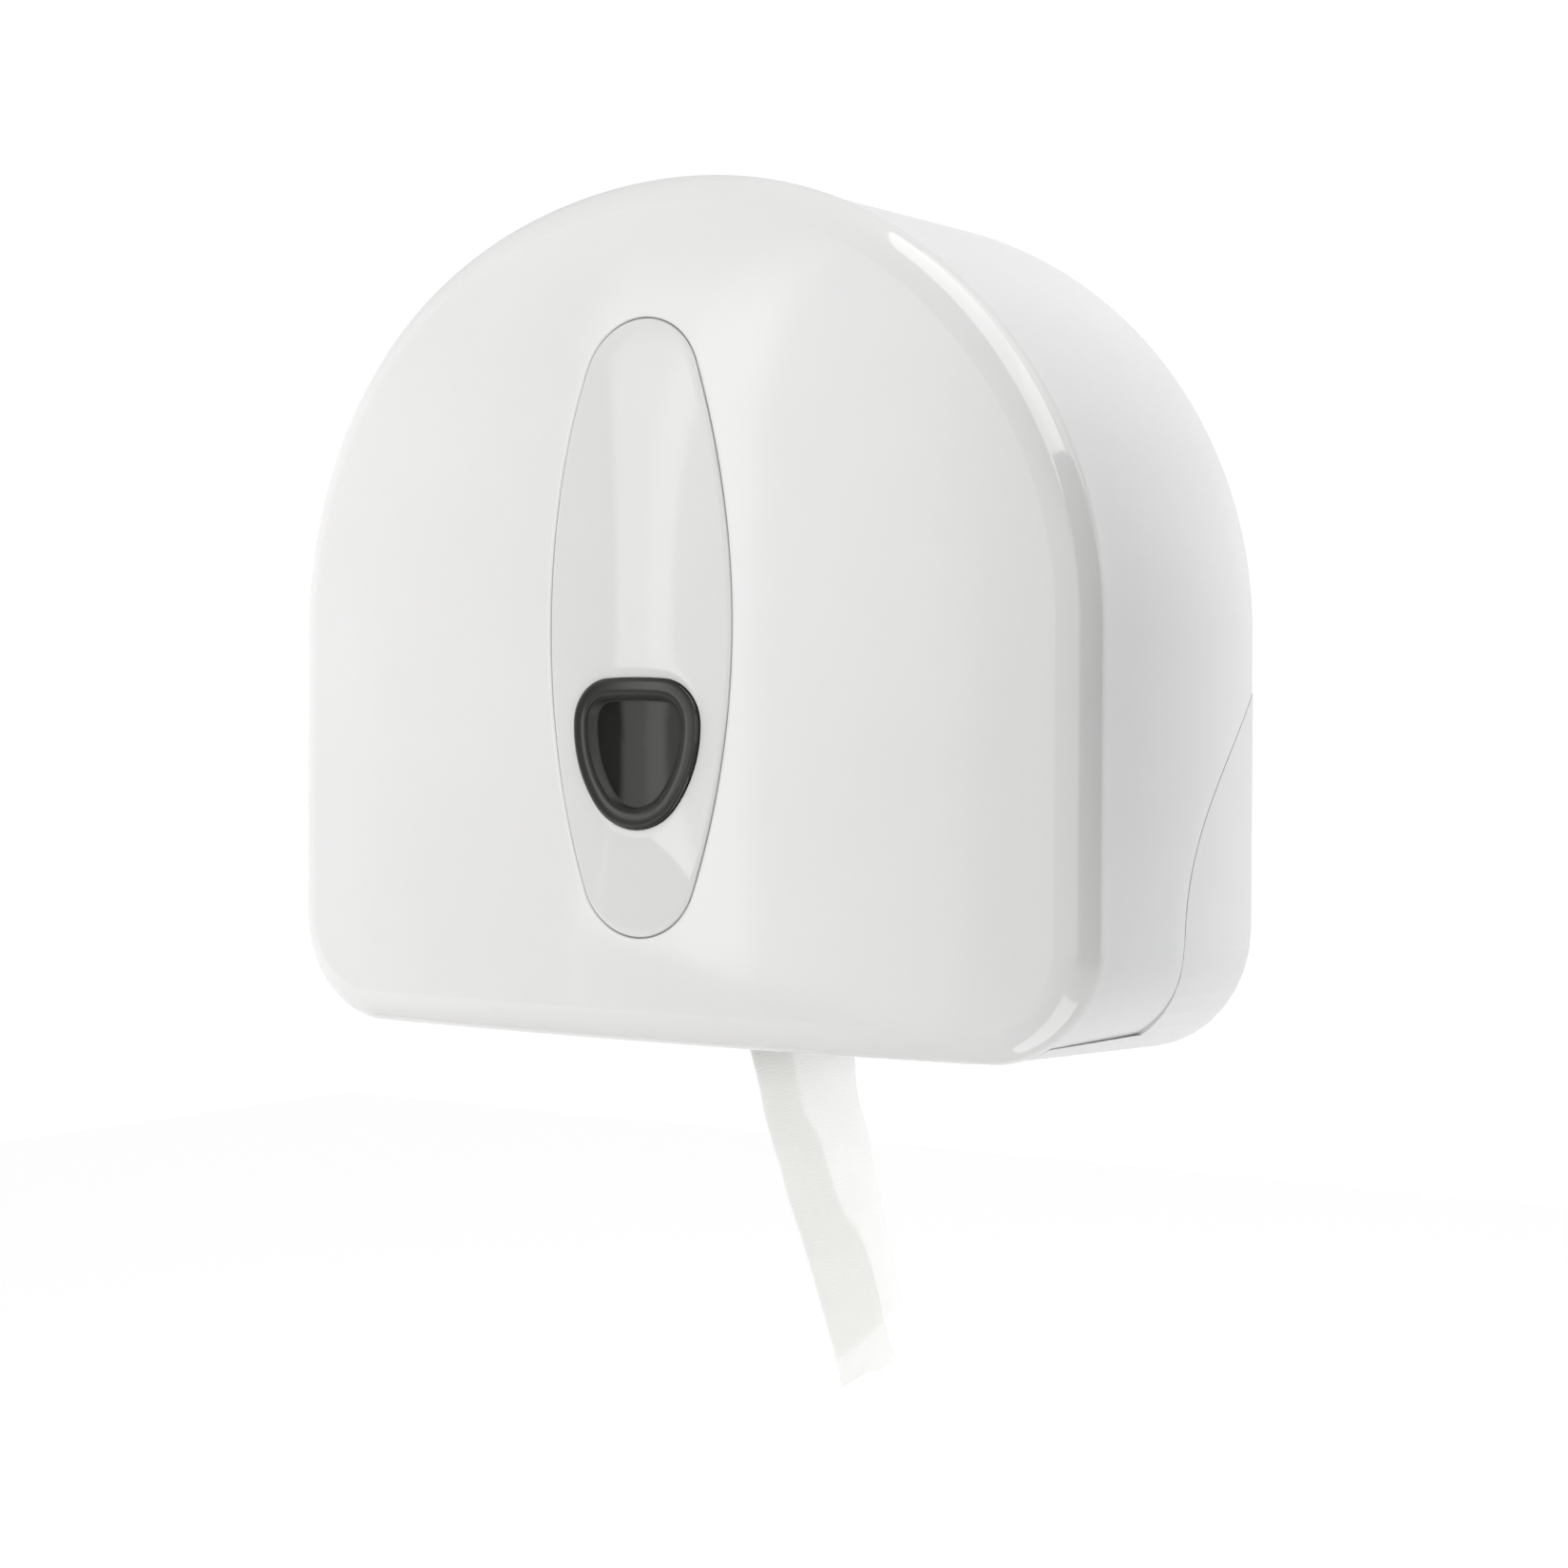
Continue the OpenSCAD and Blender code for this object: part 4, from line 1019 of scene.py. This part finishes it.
# Cards and floor, in metres. The flag stands beside the cover: x, y, width, lower and upper edge.
FLOOR_HALF = 2.6
FLOOR_Z = -0.62
FLAG = (0.34, -0.13, 0.24, -0.17, 0.18)
UNDER_CARD_Z = -0.55
# The lit cards' corners, given round the points of the rim in whose gloss they show.
SIDE_CARD = ((-0.1, 0.3), (1.75, 0.3), (1.75, -1.36), (-0.05, -0.22))
CORNER_CARD = ((-0.02, 0.04), (0.44, 0.06), (0.47, -0.5), (-0.02, -0.11))


def build_camera():
    az, el, roll = (math.radians(a) for a in (CAMERA_AZIMUTH, CAMERA_ELEVATION, CAMERA_ROLL))
    back = Vector((math.sin(az) * math.cos(el), -math.cos(az) * math.cos(el), math.sin(el)))
    right = (-back).cross(Vector((0, 0, 1))).normalized()
    up = right.cross(-back)
    r = right * math.cos(roll) + up * math.sin(roll)
    u = up * math.cos(roll) - right * math.sin(roll)
    cam = bpy.data.cameras.new("camera")
    cam.sensor_width, cam.lens, cam.clip_end = CAMERA_SENSOR, CAMERA_LENS, 50
    obj = linked_object("camera", cam)
    place = Vector(CAMERA_TARGET) + back * CAMERA_DISTANCE
    obj.matrix_world = Matrix.Translation(place) @ Matrix((r, u, back)).transposed().to_4x4()
    bpy.context.scene.camera = obj


def math_node(nt, operation, *values):
    """A math node whose inputs are numbers or other nodes' outputs."""
    n = node(nt, "ShaderNodeMath", operation=operation)
    for i, v in enumerate(values):
        if isinstance(v, (int, float)):
            n.inputs[i].default_value = v
        else:
            nt.links.new(v, n.inputs[i])
    return n.outputs[0]


def mix_level(nt, fac, a, b):
    """The level a, passing into the number b as fac goes from 0 to 1."""
    mix = node(nt, "ShaderNodeMix", data_type="FLOAT")
    nt.links.new(fac, mix.inputs["Factor"])
    nt.links.new(a, mix.inputs["A"])
    mix.inputs["B"].default_value = b
    return mix.outputs["Result"]


def sky_level(nt, coord):
    """Brightness of the studio's walls, ceiling and floor in the direction coord."""
    xyz = nt.nodes.new("ShaderNodeSeparateXYZ")
    nt.links.new(coord, xyz.inputs[0])
    height = xyz.outputs["Z"]
    turn = math_node(nt, "ARCTAN2", xyz.outputs["X"], math_node(nt, "MULTIPLY", xyz.outputs["Y"], -1.0))
    compass = math_node(nt, "MULTIPLY_ADD", turn, 0.5 / math.pi, 0.5)
    wall = ramp(nt, compass, [((d + 180) / 360, v / SKY_MAX) for d, v in SKY])

    past_box = math_node(nt, "MULTIPLY_ADD", compass, 360.0, -180.0 - BOX_AT)
    edge = math_node(nt, "MULTIPLY_ADD", past_box, BOX_EDGE[1], BOX_EDGE[0])
    above = math_node(nt, "GREATER_THAN", height, edge)
    in_box = math_node(nt, "COMPARE", past_box, BOX_MID, BOX_HALF)
    lit = math_node(nt, "MAXIMUM", above, math_node(nt, "SUBTRACT", 1.0, in_box))
    level = math_node(nt, "MULTIPLY", wall, math_node(nt, "MULTIPLY_ADD", lit, 1 - BELOW_BOX, BELOW_BOX))

    for bright, band in ((SKY_TOP, SKY_TOP_BAND), (SKY_LOW, SKY_LOW_BAND)):
        near = node(nt, "ShaderNodeMapRange", interpolation_type="SMOOTHSTEP")
        nt.links.new(height, near.inputs["Value"])
        near.inputs["From Min"].default_value, near.inputs["From Max"].default_value = band
        level = mix_level(nt, near.outputs["Result"], level, bright / SKY_MAX)
    return math_node(nt, "MULTIPLY", level, SKY_MAX)


def build_world():
    """The studio as it shows in gloss and lights the part; the camera sees plain white."""
    world = bpy.data.worlds.new("studio")
    bpy.context.scene.world = world
    world.use_nodes = True
    nt = world.node_tree
    level = sky_level(nt, nt.nodes.new("ShaderNodeTexCoord").outputs["Generated"])
    seen = nt.nodes.new("ShaderNodeLightPath").outputs["Is Camera Ray"]
    background = nt.nodes["Background"]
    background.inputs["Color"].default_value = (1, 1, 1, 1)
    nt.links.new(mix_level(nt, seen, level, 1.0), background.inputs["Strength"])
    bpy.context.scene.view_settings.view_transform = "Standard"
    bpy.context.scene.view_settings.exposure = EXPOSURE


def card(name, corners, grey, rough, glow=0.0):
    """A flat four-cornered stage object, lit from within by glow."""
    mesh = bpy.data.meshes.new(name)
    mesh.from_pydata(corners, [], [(0, 1, 2, 3)])
    mat, _, bsdf = new_material(name + "_paint")
    bsdf.inputs["Base Color"].default_value = (grey, grey, grey, 1)
    bsdf.inputs["Roughness"].default_value = rough
    bsdf.inputs["Emission Color"].default_value = (1, 1, 1, 1)
    bsdf.inputs["Emission Strength"].default_value = glow
    mesh.materials.append(mat)
    obj = linked_object(name, mesh)
    return obj


def glow_card(name, origin, z, corners, glow):
    """A level lit card that only shows in gloss; its corners are given round origin."""
    obj = card(name, [(origin[0] + x, origin[1] + y, z) for x, y in corners], 0.8, 0.9, glow)
    obj.visible_camera = obj.visible_diffuse = obj.visible_shadow = False


def level_corners(x, y, z):
    """Corners of a level rectangle, given as [from, to] across and in y."""
    return [(x[0], y[0], z), (x[1], y[0], z), (x[1], y[1], z), (x[0], y[1], z)]


def build_cards():
    reach = (-FLOOR_HALF, FLOOR_HALF)
    card("floor", level_corners(reach, reach, FLOOR_Z), grey=0.8, rough=0.9, glow=0.35)
    x, y, w, z0, z1 = FLAG
    flag = card("flag", [(x, y - w / 2, z0), (x, y + w / 2, z0), (x, y + w / 2, z1), (x, y - w / 2, z1)],
                grey=0.02, rough=0.8)
    flag.visible_camera = False
    under = card("under_card", level_corners((-0.6, 0.6), (-0.9, 0.1), UNDER_CARD_Z), grey=0.75, rough=0.9)
    under.visible_camera = False
    glow_card("side_card", origin=(0.165, -0.13), z=0.95, corners=SIDE_CARD, glow=2.8)
    glow_card("corner_card", origin=(0.16, -0.13), z=-0.52, corners=CORNER_CARD, glow=2.6)


def area_light(name, place, target, size, power):
    light = bpy.data.lights.new(name, "AREA")
    light.shape, light.size, light.size_y = "RECTANGLE", size[0], size[1]
    light.energy = power
    obj = linked_object(name, light)
    obj.location = place
    obj.rotation_euler = (Vector(target) - Vector(place)).to_track_quat("-Z", "Y").to_euler()
    obj.visible_camera = False
    return obj


def build_lights():
    """A key light from the left, a fill light from the upper right, and one for the paper alone."""
    key = area_light("key", (-0.75, -0.47, 0.08), target=(-0.1, 0.0, 0.0), size=(0.5, 0.9), power=2.4)
    key.visible_glossy = False
    area_light("fill", (0.75, 0.05, 0.95), target=(0.1, -0.1, 0.0), size=(1.2, 1.2), power=4.3)
    lamp = area_light("tail_lamp", (0.2, -0.62, -0.48), target=(0.03, -0.1, -0.21), size=(0.3, 0.3),
                      power=2.2)
    lit = bpy.data.collections.new("lit_by_tail_lamp")
    for name in ("front_ply", "back_ply"):
        lit.objects.link(bpy.data.objects[name])
    lamp.light_linking.receiver_collection = lit


build_cover()
build_insert()
build_window()
build_roll()
build_core()
build_tail()
build_hardware()
dress_base()
build_camera()
build_world()
build_cards()
build_lights()
